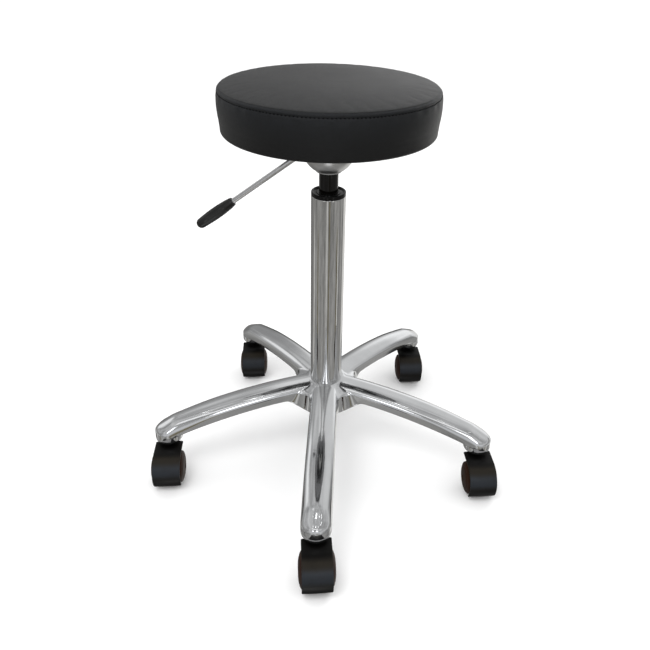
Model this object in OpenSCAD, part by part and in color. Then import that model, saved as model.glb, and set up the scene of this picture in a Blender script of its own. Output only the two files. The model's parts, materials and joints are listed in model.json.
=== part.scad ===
// Gas-lift salon stool: a round padded seat, a release lever, a five-arm cast base and five twin-wheel casters.
// Millimetres, +Z up. The origin is on the column's axis at floor level, and one arm points along -Y.

/* [Seat cushion] */
// Radius of the cushion at its top seam
seat_r = 150.5; // [142:0.5:160]
// Height of the cushion from its board's underside to the top seam
seat_h = 60; // [52:1:75]
// How far the side band swells past the top seam
band_bulge = 2.8; // [1:0.2:4]
// How far the side band draws in towards the bottom
band_draw = 0.5; // [0.5:0.5:4]
// Height of the crown above the top seam
crown_h = 11; // [6:0.5:14]
// Depth of the pulled-in line along the top seam
seam_dip = 1; // [0.4:0.1:1.6]
// Thickness of the vinyl cover
cover_t = 1.4; // [1:0.1:2]
// Radius of the turned-in bottom edge
edge_r = 4.5; // [4:0.5:8]
// Width of the vinyl turned under the board
turn_in_w = 20; // [14:1:26]
// Thickness of the plywood board
board_t = 12; // [10:0.5:15]
// Thickness of the dust cloth under the board
cloth_t = 0.8; // [0.5:0.1:1.2]
// How far the dust cloth laps over the turned-under vinyl
cloth_lap = 12; // [9:0.5:13]
// Number of staples round the underside
staple_count = 30; // [16:1:40]

/* [Seat plate and bell] */
// Side of the square steel seat plate
plate_w = 150; // [136:1:160]
// Thickness of the seat plate
plate_t = 2.5; // [2:0.1:4]
// Distance between neighbouring bolts of the plate
bolt_spacing = 120; // [110:1:122]
// Diameter of the plate's bolts
bolt_d = 6; // [5:0.5:8]
// Radius of the bell's round lower half
bell_r = 38.5; // [37:0.5:42]
// Wall of the bell
bell_t = 1.8; // [1.2:0.1:2.2]
// Height of the bell below the seat plate
bell_h = 58; // [56:0.5:64]
// Diameter of the round opening under the bell
bell_mouth_d = 34; // [32:0.5:38]
// Thickness of the steel in the brackets under the plate
bracket_t = 3; // [2:0.1:3.5]

/* [Gas spring] */
// Diameter of the gas spring's black cylinder
cylinder_d = 28; // [27:0.5:29]
// Wall of the cylinder
cylinder_t = 2; // [1.5:0.1:2.2]
// Length of the cylinder below the bell
cylinder_l = 285; // [275:1:300]
// Length of cylinder that shows between the bell and the guide bush
lift_shown = 31; // [29:1:45]
// Length of the tapered top that sits in the socket
taper_h = 26; // [22:0.5:28]
// How much the tapered top loses on its radius
taper_loss = 0.9; // [0.5:0.1:1.2]
// Diameter of the piston rod
rod_d = 10; // [8:0.5:11]
// Diameter of the rod's turned-down lower end
rod_end_d = 8; // [6:0.5:8.5]
// Diameter of the release pin
pin_d = 8; // [6:0.5:9]
// How far the release pin stands out of the cylinder
pin_stand = 9; // [7:0.5:10.5]

/* [Release lever] */
// Diameter of the lever's rod
lever_d = 8; // [6:0.5:9]
// Distance from the column's axis to the grip's tip
lever_reach = 194; // [170:1:210]
// Angle at which the lever falls away from the seat
lever_fall = 37; // [32:1:39]
// Distance from the column's axis to the lever's pivot
pivot_x = 22; // [21:0.5:24]
// Diameter of the pivot pin
pivot_d = 4; // [3:0.5:4.5]
// Length of the grip
grip_l = 68; // [50:1:80]
// Greatest diameter of the grip
grip_d = 18; // [16:0.5:20]
// Number of flutes round the grip
grip_flutes = 10; // [8:1:12]

/* [Column] */
// Outside diameter of the chromed tube
tube_d = 51; // [50:0.5:52]
// Wall of the tube
tube_t = 2; // [1.6:0.1:2.4]
// Height of the tube that shows above the hub
tube_shown = 319; // [300:1:335]
// How much the tapered foot of the tube loses on its radius
foot_loss = 0.7; // [0.4:0.1:1]
// Height of the guide bush inside the tube
bush_h = 90; // [70:1:100]
// Thickness of the bush's flange on the tube's rim
flange_t = 6; // [4:0.5:8]
// Thickness of the disc that closes the tube's foot
disc_t = 4; // [3:0.5:5]
// Height of the rubber buffer on the piston rod
buffer_h = 18; // [12:1:24]
// Diameter of a ball in the thrust bearing
ball_d = 4; // [3:0.5:5]
// Number of balls in the thrust bearing
ball_count = 9; // [6:1:11]

/* [Star base] */
// Distance from the column's axis to each caster's stem
arm_reach = 258; // [250:1:275]
// How far an arm falls from the hub to its nose
arm_fall = 39; // [30:0.5:45]
// Width of an arm
arm_w = 43; // [41:0.5:46]
// Height of an arm
arm_h = 24; // [22:0.5:28]
// Height of the crowned top above an arm's widest level
arm_up = 16; // [14:0.5:17]
// How far an arm's top face is crowned
arm_crown = 1.2; // [0.6:0.1:2]
// Radius of the edges along an arm's top
arm_round = 8.5; // [6:0.5:11]
// How far an arm's sides draw in below the widest level
arm_draft = 1; // [0.5:0.1:1.5]
// Wall of an arm's hollow underside
arm_wall = 4.5; // [3.5:0.5:6]
// Number of pockets between the ribs under an arm
arm_pockets = 5; // [3:1:6]
// Thickness of a rib between two pockets
rib_t = 3; // [2:0.5:4]
// Depth of the hub below the arms' underside
hub_drop = 30; // [24:1:34]
// Radius of the hub's foot
hub_r = 35; // [33:0.5:36]
// Radius of the webs between the arms, seen from above
web_r = 28; // [22:1:32]
// How far each nose reaches down below its arm for the caster's socket
boss_drop = 11.4; // [9:0.2:13]

/* [Casters] */
// Diameter of a wheel
wheel_d = 50; // [49:0.5:52]
// Width of a wheel's tread
tread_w = 17; // [15:0.5:18]
// How far a wheel's domed face stands out past the hood
dome_h = 4.8; // [3.6:0.2:6]
// Distance from a caster's stem to its axle
trail = 31; // [30:0.5:33]
// Thickness of the web between a caster's wheels
hood_web = 7; // [6:0.5:8]
// Wall of the hood
hood_t = 2.8; // [2.2:0.1:3.4]
// Diameter of an axle
axle_d = 8; // [6:0.5:9]
// Diameter of a caster's stem
stem_d = 11; // [10:0.5:11.5]
// Depth of the stem's socket in the arm
socket_h = 22; // [18:0.5:23]
// Depth of the stem's seat in the hood
seat_depth = 18; // [15:0.5:18.5]
// Direction in which the casters trail, measured from -Y towards +X
caster_heading = 6; // [-30:1:30]

/* [Hidden] */
$fn = 72;

// Clearances and shared small sizes
over = 2; // overrun of every cut
snug = 0.02; // radial gap of a fixed fit
run_fit = 0.05; // radial gap of a running fit
air = 0.3; // gap between faces that turn or slide past each other
seam_step = 0.12; // step where two castings' surfaces would otherwise coincide
arm_count = 5;
between = 180 / arm_count; // half the angle between two arms

// Heights of the casters
wheel_r = wheel_d / 2;
axle_z = wheel_r;
wheel_gap = 1.5;
hood_r = wheel_r + wheel_gap + hood_t;
hood_w = hood_web + 2 * air + 2 * tread_w + 2 * air;
hood_top = axle_z + hood_r;
stem_flange_t = 3;
stem_flange_w = 3;
stem_flange_r = stem_d / 2 + stem_flange_w;
ring_groove_h = 3;
ring_groove = 1;
hood_front = stem_d / 2 + 2 * hood_t;
axle_inset = 1;
boss_z = hood_top + air + stem_flange_t;

// Heights of the star base: an arm's widest level follows one arc from the hub to the nose
nose_z = boss_z + boss_drop + arm_h - arm_up;
hub_mid_z = nose_z + arm_fall;
hub_top = hub_mid_z + arm_up;
hub_z = hub_top - arm_h - hub_drop;
arch_r = (arm_reach * arm_reach + arm_fall * arm_fall) / (2 * arm_fall);
arch_z = hub_mid_z - arch_r;
arch_end = asin(arm_reach / arch_r);
arch_start = asin(hub_r / 2 / arch_r);

// Heights of the column and the gas spring
tube_r = tube_d / 2;
tube_z = hub_z;
tube_top = hub_top + tube_shown;
tube_bore_r = tube_r - tube_t;
bush_top = tube_top + flange_t;
cylinder_r = cylinder_d / 2;
bell_z = bush_top + lift_shown;
cylinder_z = bell_z - cylinder_l;
plate_z = bell_z + bell_h;
socket_up = 6;
socket_z = bell_z + socket_up;
cylinder_top = socket_z + taper_h;
cap_t = 10;
bore_top = cylinder_top - cap_t;
gland_h = 20;
valve_h = 24;
pin_top = cylinder_top + pin_stand;
pin_l = 44;

// Heights of the thrust bearing and the rod
race_t = 2;
race_r = 13;
disc_top = tube_z + disc_t;
ball_z = disc_top + race_t + ball_d / 2;
shoulder_z = disc_top + 2 * race_t + ball_d;
piston_h = 14;
piston_up = 190;
piston_z = cylinder_z + gland_h + piston_up;
rod_r = rod_d / 2;
rod_end_r = rod_end_d / 2;
oil_gap = 2;
pressure_r = cylinder_r - cylinder_t - oil_gap;
pressure_t = 1;
clip_t = 1.2;
washer_t = 1;
clip_w = 3.5;
clip_r = rod_end_r + clip_w;

// Heights of the seat
board_z = plate_z + plate_t + cloth_t;
seam_z = board_z + seat_h;
board_r = seat_r - band_draw - edge_r - air;
cloth_r = board_r - turn_in_w + cloth_lap;
turn_in_r = board_r - turn_in_w;

// The lever: a rod that falls away from its pivot, with a bend to the level end over the release pin
lever_r = lever_d / 2;
lever_z = pin_top + snug + lever_r;
bend_x = 11;
bend_r = 12;
pivot_z = lever_z - (pivot_x - bend_x) * tan(lever_fall);
lever_l = (lever_reach - pivot_x) / cos(lever_fall);
bend_l = bend_r * tan(lever_fall / 2);
lever_tail = 1;
grip_bore_l = 28;
pivot_r = pivot_d / 2;

// Moves its children to arm number k, with +X pointing outwards
module on_arm(k) {
    rotate([0, 0, -90 + k * 2 * between]) children();
}

module on_arms() {
    for (k = [0:arm_count - 1]) on_arm(k) children();
}

// A ring of revolution from radius a to radius b, between heights z and top
module ring(a, b, z, top) {
    rotate_extrude() translate([a, z]) square([b - a, top - z]);
}

// Star base

// Half of an arm's cross-section: [sideways, height above the widest level], from the crown to the foot
function arm_half(inset = 0) =
    let (r = arm_round - inset, flat = arm_w / 2 - arm_round, top = arm_up - inset, foot = 2)
    concat(
        [for (i = [0:2]) [flat * i / 3, top - arm_crown * pow(i / 3, 2)]],
        [for (a = [0:22.5:90]) [flat + r * sin(a), top - arm_crown - r * (1 - cos(a))]],
        [[arm_w / 2 - inset, 0]],
        [[arm_w / 2 - inset - arm_draft, arm_up - arm_h + foot]],
        [[arm_w / 2 - arm_draft - foot, arm_up - arm_h + inset]],
        [[0, arm_up - arm_h + inset]]
    );

// Sweeps a section, drawn as [height, sideways], along the arms' arc between two angles
module along_arch(from, to) {
    translate([0, 0, arch_z])
        rotate([0, -90, -90])
        rotate([0, 0, from])
        rotate_extrude(angle = to - from, $fn = 360)
        translate([arch_r, 0])
        children();
}

module arm_section() {
    half = arm_half();
    polygon(concat(
        [for (p = half) [p[1], p[0]]],
        [for (i = [len(half) - 1:-1:0]) [half[i][1], -half[i][0]]]
    ));
}

// The rounded nose: half of the arm's section turned about the section's own height, a hair inside the arm
module nose() {
    translate([0, 0, arch_z])
        rotate([0, arch_end, 0])
        translate([0, 0, arch_r])
        rotate_extrude()
        polygon(arm_half(seam_step));
}

// The boss below a nose, with a rounded lower edge
module socket_boss() {
    r = arm_w / 2 - air;
    lip = 6;
    translate([arm_reach, 0, 0])
        rotate_extrude()
        polygon(concat(
            [[0, nose_z]],
            [[r, nose_z]],
            [for (a = [0:15:90]) [r - lip * (1 - cos(a)), boss_z + lip * (1 - sin(a))]],
            [[0, boss_z]]
        ));
}

// One hollow between two ribs under an arm
module arm_pocket(from, to) {
    w = arm_w / 2 - arm_draft - arm_wall;
    top = arm_up - arm_crown - arm_wall;
    chamfer = arm_round - arm_wall + over;
    along_arch(from, to)
        polygon([
            [arm_up - arm_h - over, -w],
            [arm_up - arm_h - over, w],
            [top - chamfer, w],
            [top, w - chamfer],
            [top, chamfer - w],
            [top - chamfer, -w]
        ]);
}

module arm_pockets() {
    first = asin((web_end + arm_wall) / arch_r);
    last = asin((arm_reach - arm_w / 2 - arm_wall) / arch_r);
    rib = rib_t / arch_r * 180 / PI;
    step = (last - first + rib) / arm_pockets;
    for (i = [0:arm_pockets - 1]) {
        arm_pocket(first + i * step, first + (i + 1) * step - rib);
    }
}

// The webs between the arms: their upper face sags away from the tube, and their lower face flares out of the foot
web_end = (arm_w / 2 + web_r) / tan(between) + over;
web_in = 2; // how far the webs' ends stay inside the arms
function web_top(t) = hub_top - arm_round / 2 - (arm_h - web_in) * (1 - pow(1 - t, 2.2));
function web_foot(t) = hub_z + (hub_drop - 2 * web_in) * pow(t, 1.15);

module web_profile() {
    steps = 4;
    polygon(concat(
        [[0, hub_z]],
        [for (i = [0:steps]) [hub_r + (web_end - hub_r) * i / steps, web_foot(i / steps)]],
        [for (i = [steps:-1:0]) [tube_r + (web_end - tube_r) * i / steps, web_top(i / steps)]],
        [[0, web_top(0)]]
    ));
}

// The hub with its five webs, hollowed out between the arms
module hub() {
    bite = 1.2;
    d = (arm_w / 2 - bite + web_r) / sin(between);
    difference() {
        rotate_extrude() web_profile();
        for (k = [0:arm_count - 1])
            on_arm(k)
            rotate([0, 0, between])
            translate([d, 0, hub_z - over])
            cylinder(r = web_r, h = hub_top - hub_z);
    }
}

// The arm as far as its neighbours: both sides end a hair short of the planes half-way between the arms
module arm_bar() {
    reach = arm_reach + arm_w;
    intersection() {
        along_arch(arch_start, arch_end) arm_section();
        translate([seam_step, 0, hub_z]) linear_extrude(hub_top)
            polygon([[0, 0], [reach, -reach * tan(between)], [reach, reach * tan(between)]]);
    }
}

module arm() {
    difference() {
        union() {
            arm_bar();
            nose();
            socket_boss();
        }
        arm_pockets();
        translate([arm_reach, 0, boss_z - over])
            cylinder(r = stem_d / 2 + run_fit, h = socket_h + over);
    }
}

module star_base() {
    color("silver") difference() {
        union() {
            hub();
            on_arms() arm();
        }
        translate([0, 0, hub_z])
            cylinder(r1 = tube_r - foot_loss + snug, r2 = tube_r + snug, h = hub_top - hub_z);
        translate([0, 0, hub_top]) cylinder(r = tube_r + snug, h = over);
        translate([0, 0, hub_z - over]) cylinder(r = tube_r - foot_loss + snug, h = over);
    }
}

// Column

module column_tube() {
    color("gainsboro") difference() {
        union() {
            translate([0, 0, hub_top]) cylinder(r = tube_r, h = tube_shown);
            translate([0, 0, tube_z])
                cylinder(r1 = tube_r - foot_loss, r2 = tube_r, h = hub_top - tube_z);
        }
        translate([0, 0, tube_z - over]) cylinder(r = tube_bore_r - foot_loss, h = tube_shown);
        translate([0, 0, hub_top]) cylinder(r = tube_bore_r, h = tube_shown + over);
    }
}

// The guide bush's flange has a raised rim and a small step round the cylinder
module guide_bush() {
    rim_w = 3;
    rim_h = 2;
    step_w = 4;
    bore = cylinder_r + run_fit;
    color("#1b1b1d") rotate_extrude() polygon([
        [bore, tube_top - bush_h],
        [tube_bore_r - run_fit, tube_top - bush_h],
        [tube_bore_r - run_fit, tube_top],
        [tube_r, tube_top],
        [tube_r, bush_top - rim_h / 2],
        [tube_r - rim_h / 2, bush_top],
        [tube_r - rim_w, bush_top],
        [tube_r - rim_w, bush_top - rim_h],
        [bore + step_w, bush_top - rim_h],
        [bore + step_w, bush_top - rim_h / 2],
        [bore, bush_top - rim_h / 2]
    ]);
}

module tube_disc() {
    color("dimgray") ring(rod_end_r + air, tube_bore_r - foot_loss - snug, tube_z, disc_top);
}

module lower_race() {
    color("lightsteelblue") ring(rod_end_r + air, race_r, disc_top, disc_top + race_t);
}

module upper_race() {
    color("lightsteelblue") ring(rod_end_r + snug, race_r, shoulder_z - race_t, shoulder_z);
}

ball_track_r = (rod_end_r + race_r) / 2 + air;

module ball_cage() {
    cage_h = ball_d / 3;
    color("goldenrod") difference() {
        ring(rod_end_r + 2 * air, race_r - air, ball_z - cage_h / 2, ball_z + cage_h / 2);
        for (i = [0:ball_count - 1])
            rotate([0, 0, i * 360 / ball_count])
            translate([ball_track_r, 0, ball_z - cage_h])
            cylinder(d = ball_d + air, h = 2 * cage_h, $fn = 24);
    }
}

module thrust_balls() {
    color("lightgray") for (i = [0:ball_count - 1])
        rotate([0, 0, i * 360 / ball_count])
        translate([ball_track_r, 0, ball_z])
        sphere(d = ball_d - snug, $fn = 24);
}

// Gas spring

module piston_rod() {
    color("silver") {
        translate([0, 0, shoulder_z]) cylinder(r = rod_r, h = piston_z + piston_h / 2 - shoulder_z);
        difference() {
            translate([0, 0, tube_z - washer_t - clip_t - over])
                cylinder(r = rod_end_r, h = shoulder_z - tube_z + washer_t + clip_t + over);
            ring(rod_end_r - clip_t / 2, rod_end_r + over, tube_z - washer_t - clip_t, tube_z - washer_t);
        }
    }
}

module piston_head() {
    groove = 1.5;
    color("dimgray") difference() {
        ring(rod_r + snug, pressure_r - pressure_t - run_fit, piston_z, piston_z + piston_h / 2);
        ring(
            pressure_r - pressure_t - groove, pressure_r + over,
            piston_z + piston_h / 4 - groove / 2, piston_z + piston_h / 4 + groove / 2
        );
    }
}

module rubber_buffer() {
    waist = 1.5;
    r = race_r - waist;
    color("#2a2a2a") rotate_extrude() polygon([
        [rod_r + snug, shoulder_z],
        [r, shoulder_z],
        [r, shoulder_z + buffer_h / 3],
        [r - waist, shoulder_z + buffer_h / 2],
        [r, shoulder_z + 2 * buffer_h / 3],
        [r, shoulder_z + buffer_h],
        [rod_r + snug, shoulder_z + buffer_h]
    ]);
}

module end_washer() {
    color("silver") ring(rod_end_r + snug, clip_r + washer_t, tube_z - washer_t, tube_z - snug);
}

// A spring clip with an open side, in the groove at the rod's end
module end_clip() {
    mouth = rod_end_d * 0.7;
    color("gray") difference() {
        ring(rod_end_r - clip_t / 2 + snug, clip_r, tube_z - washer_t - clip_t, tube_z - washer_t);
        translate([0, -mouth / 2, tube_z - washer_t - clip_t - over]) cube([clip_r + over, mouth, clip_t + 2 * over]);
    }
}

module gas_cylinder() {
    bore = cylinder_r - cylinder_t;
    color("#141415") rotate_extrude() polygon([
        [bore, cylinder_z],
        [cylinder_r - cylinder_t / 2, cylinder_z],
        [cylinder_r, cylinder_z + cylinder_t],
        [cylinder_r, socket_z],
        [cylinder_r - taper_loss, cylinder_top],
        [pin_d / 2 + run_fit, cylinder_top],
        [pin_d / 2 + run_fit, bore_top],
        [bore, bore_top]
    ]);
}

module pressure_tube() {
    color("lightgray") ring(pressure_r - pressure_t, pressure_r, cylinder_z + gland_h, bore_top - valve_h);
}

module rod_gland() {
    r = cylinder_r - cylinder_t - snug;
    color("#3a3a3a") rotate_extrude() polygon([
        [rod_r + run_fit, cylinder_z],
        [r, cylinder_z],
        [r, cylinder_z + gland_h],
        [rod_r + run_fit + pressure_t, cylinder_z + gland_h],
        [rod_r + run_fit, cylinder_z + gland_h - pressure_t]
    ]);
}

module valve_body() {
    color("goldenrod") ring(pin_d / 2 + run_fit, cylinder_r - cylinder_t - snug, bore_top - valve_h, bore_top);
}

module release_pin() {
    color("white") translate([0, 0, pin_top - pin_l]) cylinder(d = pin_d, h = pin_l);
}

// Bell, seat plate and brackets

// A round-bottomed shell that stands on its equator's straight skirt
module bell() {
    drop = sqrt(bell_r * bell_r - bell_mouth_d * bell_mouth_d / 4);
    equator = bell_z + drop;
    slot_w = lever_d + 4 * air;
    slot_bottom = pivot_z - (bell_r - pivot_x) * tan(lever_fall) - lever_d;
    slot_top = pivot_z + lever_r / 2;
    color("silver") difference() {
        rotate_extrude() {
            translate([bell_r - bell_t, equator]) square([bell_t, plate_z - equator]);
            intersection() {
                translate([0, equator]) difference() {
                    circle(r = bell_r);
                    circle(r = bell_r - bell_t);
                }
                translate([bell_mouth_d / 2, bell_z - over]) square([bell_r, drop + over]);
            }
        }
        translate([-bell_r - over, -slot_w / 2, slot_bottom])
            cube([bell_r, slot_w, slot_top - slot_bottom]);
    }
}

// Steel carrier: a tapered socket under a web, hung from the plate by two cheeks
module lift_bracket() {
    socket_wall = 4;
    taper_shown = 1;
    socket_r = cylinder_r + socket_wall;
    web_z = cylinder_top - bracket_t - taper_shown;
    cheek_y = socket_r - bracket_t;
    color("gray") difference() {
        union() {
            translate([0, 0, socket_z]) cylinder(r = socket_r, h = web_z - socket_z);
            translate([-cylinder_r - bracket_t, -socket_r, web_z])
                cube([2 * (cylinder_r + bracket_t), 2 * socket_r, bracket_t]);
            for (y = [-socket_r, cheek_y])
                translate([-cylinder_r - bracket_t, y, web_z])
                cube([2 * (cylinder_r + bracket_t), bracket_t, plate_z - web_z]);
        }
        translate([0, 0, socket_z])
            cylinder(r1 = cylinder_r + snug, r2 = cylinder_r - taper_loss + snug, h = taper_h);
    }
}

module at_pivot() {
    translate([-pivot_x, 0, pivot_z]) children();
}

// Two ears that hang from the plate and carry the lever's pivot pin
ear_y = lever_r + 2 * air;
ear_w = 3 * pivot_d;

module lever_bracket() {
    color("gray") difference() {
        union() {
            translate([-pivot_x - ear_w / 2, -ear_y - bracket_t, plate_z - bracket_t])
                cube([ear_w, 2 * (ear_y + bracket_t), bracket_t]);
            for (y = [-ear_y - bracket_t, ear_y]) {
                translate([-pivot_x - ear_w / 2, y, pivot_z])
                    cube([ear_w, bracket_t, plate_z - pivot_z]);
                at_pivot() translate([0, y + bracket_t, 0]) rotate([90, 0, 0]) cylinder(d = ear_w, h = bracket_t);
            }
        }
        at_pivot() rotate([90, 0, 0])
            cylinder(r = pivot_r + snug, h = 2 * (ear_y + bracket_t + over), center = true);
    }
}

module lever_pin() {
    head_t = 1.2;
    reach = ear_y + bracket_t;
    color("lightgray") at_pivot() rotate([90, 0, 0]) {
        cylinder(r = pivot_r, h = 2 * reach, center = true);
        for (side = [-1, 1])
            translate([0, 0, side * (reach + head_t / 2)]) cylinder(r = pivot_r + head_t, h = head_t, center = true);
    }
}

module at_bolts() {
    for (x = [-1, 1])
        for (y = [-1, 1])
            translate([x * bolt_spacing / 2, y * bolt_spacing / 2, 0]) children();
}

module seat_plate() {
    corner = 12;
    color("#2b2b2d") difference() {
        translate([0, 0, plate_z]) linear_extrude(plate_t) {
            square([plate_w - 2 * corner, plate_w], center = true);
            square([plate_w, plate_w - 2 * corner], center = true);
            for (x = [-1, 1])
                for (y = [-1, 1])
                    translate([x * (plate_w / 2 - corner), y * (plate_w / 2 - corner)]) circle(r = corner);
        }
        at_bolts() translate([0, 0, plate_z - over]) cylinder(d = bolt_d + 2 * air, h = plate_t + 2 * over);
    }
}

bolt_washer_t = 1.4;
bolt_head_h = 4;
nut_flange_t = 1.4;
nut_wall = 1.2;
nut_up = 2;
nut_r = bolt_d / 2 + nut_wall;

module plate_bolts() {
    shank = plate_t + cloth_t + board_t + bolt_washer_t - nut_flange_t;
    color("silver") at_bolts() {
        translate([0, 0, plate_z - bolt_washer_t - bolt_head_h])
            cylinder(d = bolt_d * 1.8, h = bolt_head_h, $fn = 6);
        translate([0, 0, plate_z - bolt_washer_t]) cylinder(d = bolt_d, h = shank);
    }
}

module plate_washers() {
    color("gainsboro") at_bolts() ring(bolt_d / 2 + air, bolt_d, plate_z - bolt_washer_t, plate_z);
}

module t_nuts() {
    color("gainsboro") at_bolts() {
        ring(bolt_d / 2 + snug, nut_r, board_z + nut_up, board_z + board_t);
        ring(nut_r, bolt_d + 2 * nut_flange_t, board_z + board_t - nut_flange_t, board_z + board_t);
    }
}

// Seat cushion

module seat_board() {
    color("burlywood") difference() {
        ring(0, board_r, board_z, board_z + board_t);
        at_bolts() {
            translate([0, 0, board_z - over]) cylinder(r = nut_r + snug, h = board_t + 2 * over);
            translate([0, 0, board_z + board_t - nut_flange_t - snug])
                cylinder(r = bolt_d + 2 * nut_flange_t + snug, h = board_t);
        }
    }
}

// Outline of the cushion, drawn inside the cover's outer face by the given depth, as [radius, height] points
edge_top = board_z - cover_t + edge_r;
dip_w = 4;
function band_out(t) = seat_r - band_draw * (1 - t) + band_bulge * sin(180 * pow(t, 1.5));
function crown_z(t) = seam_z + crown_h * (1 - pow(t, 2.6));

function band_line(depth, steps = 9) = concat(
    [for (a = [0:15:75]) [
        band_out(0) - edge_r + (edge_r - depth) * sin(a),
        edge_top - (edge_r - depth) * cos(a)
    ]],
    [for (i = [0:steps]) [band_out(i / steps) - depth, edge_top + (seam_z - dip_w / 2 - edge_top) * i / steps]],
    [[seat_r - seam_dip - depth, seam_z]]
);

function crown_line(depth, steps = 10) = concat(
    [[seat_r - seam_dip - depth, seam_z]],
    [[seat_r - dip_w - depth, seam_z + seam_dip - depth]],
    [for (i = [steps - 1:-1:0]) [
        (seat_r - dip_w) * i / steps,
        crown_z(i / steps) + seam_dip * (1 - i / steps) - depth
    ]]
);

function backwards(line) = [for (i = [len(line) - 1:-1:0]) line[i]];

module seat_foam() {
    color("khaki") difference() {
        rotate_extrude() polygon(concat(
            [[0, board_z + board_t]],
            [[board_r, board_z + board_t]],
            [[board_r, board_z]],
            [for (p = band_line(cover_t)) if (p[1] > board_z) p],
            [for (p = crown_line(cover_t)) if (p[0] < seat_r - dip_w) p]
        ));
        at_bolts() translate([0, 0, board_z]) cylinder(d = bolt_d, h = board_t + over);
    }
}

module cover_top() {
    color("#2f3033") rotate_extrude() polygon(concat(crown_line(0), backwards(crown_line(cover_t))));
}

// The side band and the strip turned under the board
module cover_band() {
    color("#232529") rotate_extrude() polygon(concat(
        [[turn_in_r, board_z]],
        [[turn_in_r, board_z - cover_t]],
        band_line(0),
        backwards(band_line(cover_t))
    ));
}

// The cloth steps down where it laps over the turned-under vinyl
module dust_cloth() {
    step_r = turn_in_r - air;
    low = board_z - cover_t;
    color("#1c1c1e") difference() {
        rotate_extrude() polygon([
            [0, board_z],
            [step_r, board_z],
            [step_r, low],
            [cloth_r, low],
            [cloth_r, low - cloth_t],
            [step_r - cover_t, low - cloth_t],
            [step_r - cover_t, board_z - cloth_t],
            [0, board_z - cloth_t]
        ]);
        at_bolts() translate([0, 0, board_z - cover_t]) cylinder(d = bolt_d + 2 * air, h = 2 * cover_t);
    }
}

module staples() {
    crown_w = 10;
    wire = 0.7;
    color("silver") for (i = [0:staple_count - 1])
        rotate([0, 0, (i + 0.5) * 360 / staple_count])
        translate([cloth_r - cloth_lap / 2, 0, board_z - cover_t - cloth_t - wire / 2])
        cube([wire, crown_w, wire], center = true);
}

// Lever

// Moves its children to the pivot and turns +Z down along the lever's rod
module down_lever() {
    at_pivot() rotate([0, -90 - lever_fall, 0]) children();
}

module lever_rod() {
    inner = (pivot_x - bend_x) / cos(lever_fall) - bend_l;
    turn_on = 3;
    color("gainsboro") difference() {
        union() {
            down_lever() translate([0, 0, -inner]) cylinder(r = lever_r, h = inner + lever_l - grip_l + grip_bore_l);
            translate([-bend_x + bend_l, 0, lever_z - bend_r])
                rotate([90, 0, 0])
                rotate([0, 0, 90 - turn_on])
                rotate_extrude(angle = lever_fall + 2 * turn_on)
                translate([bend_r, 0])
                circle(r = lever_r - seam_step);
            translate([-bend_x + bend_l, 0, lever_z])
                rotate([0, 90, 0])
                cylinder(r = lever_r, h = bend_x - bend_l + lever_tail);
        }
        at_pivot() rotate([90, 0, 0]) cylinder(r = pivot_r + run_fit, h = lever_d + 2 * over, center = true);
    }
}

// A grip that swells towards the hand, with flutes and a rounded tip
module lever_grip() {
    r = grip_d / 2;
    wall = 2.4;
    neck_r = lever_r + wall;
    start = lever_l - grip_l;
    flute_r = r / 4;
    swell = 150;
    tip_r = neck_r + (r - neck_r) * sin(swell);
    color("#161617") down_lever() difference() {
        rotate_extrude() polygon(concat(
            [[0, start]],
            [[neck_r, start]],
            [for (t = [0:0.1:1]) [
                neck_r + (r - neck_r) * sin(swell * pow(t, 0.8)),
                start + (grip_l - tip_r) * t
            ]],
            [for (a = [15:15:90]) [tip_r * cos(a), lever_l - tip_r + tip_r * sin(a)]]
        ));
        translate([0, 0, start - over]) cylinder(r = lever_r + snug, h = grip_bore_l + over);
        for (i = [0:grip_flutes - 1])
            rotate([0, 0, i * 360 / grip_flutes])
            translate([r + flute_r / 2, 0, start + grip_l / 10])
            cylinder(r = flute_r, h = grip_l, $fn = 24);
    }
}

// Casters

module on_caster(k) {
    on_arm(k) translate([arm_reach, 0, 0]) rotate([0, 0, 90 - k * 2 * between + caster_heading]) children();
}

// Moves its children to the axle, with +Z pointing along it to the caster's right
module on_axle() {
    translate([0, -trail, axle_z]) rotate([0, 90, 0]) children();
}

module caster_stems() {
    color("lightgray") for (k = [0:arm_count - 1]) on_caster(k) difference() {
        union() {
            translate([0, 0, hood_top - seat_depth + air])
                cylinder(d = stem_d, h = seat_depth + stem_flange_t + socket_h - 2 * air);
            translate([0, 0, hood_top + air]) cylinder(r = stem_flange_r, h = stem_flange_t);
        }
        ring(stem_d / 2 - ring_groove, stem_d, boss_z + socket_h / 2, boss_z + socket_h / 2 + ring_groove_h);
    }
}

// Split spring rings that hold the stems in their sockets
module grip_rings() {
    slit = 1.6;
    low = boss_z + socket_h / 2;
    color("silver") for (k = [0:arm_count - 1]) on_caster(k) difference() {
        ring(stem_d / 2 - ring_groove + snug, stem_d / 2 + snug, low + snug, low + ring_groove_h - snug);
        translate([0, -slit / 2, boss_z]) cube([stem_d, slit, socket_h]);
    }
}

// Side outline of the hood, seen along the axle: a round back, a flat top and a rounded front round the stem
module hood_side() {
    lip_z = 4;
    difference() {
        union() {
            translate([-trail, axle_z]) circle(r = hood_r);
            translate([-trail, axle_z]) square([trail + hood_front, hood_top - axle_z]);
        }
        translate([-trail - hood_r - over, -over]) square([hood_r + over, lip_z + over]);
        translate([-trail, -over]) square([trail + hood_front + over, axle_z - axle_d + over]);
        translate([-trail + axle_d, -over]) square([trail, hood_top - seat_depth - hood_t + over]);
    }
}

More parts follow.
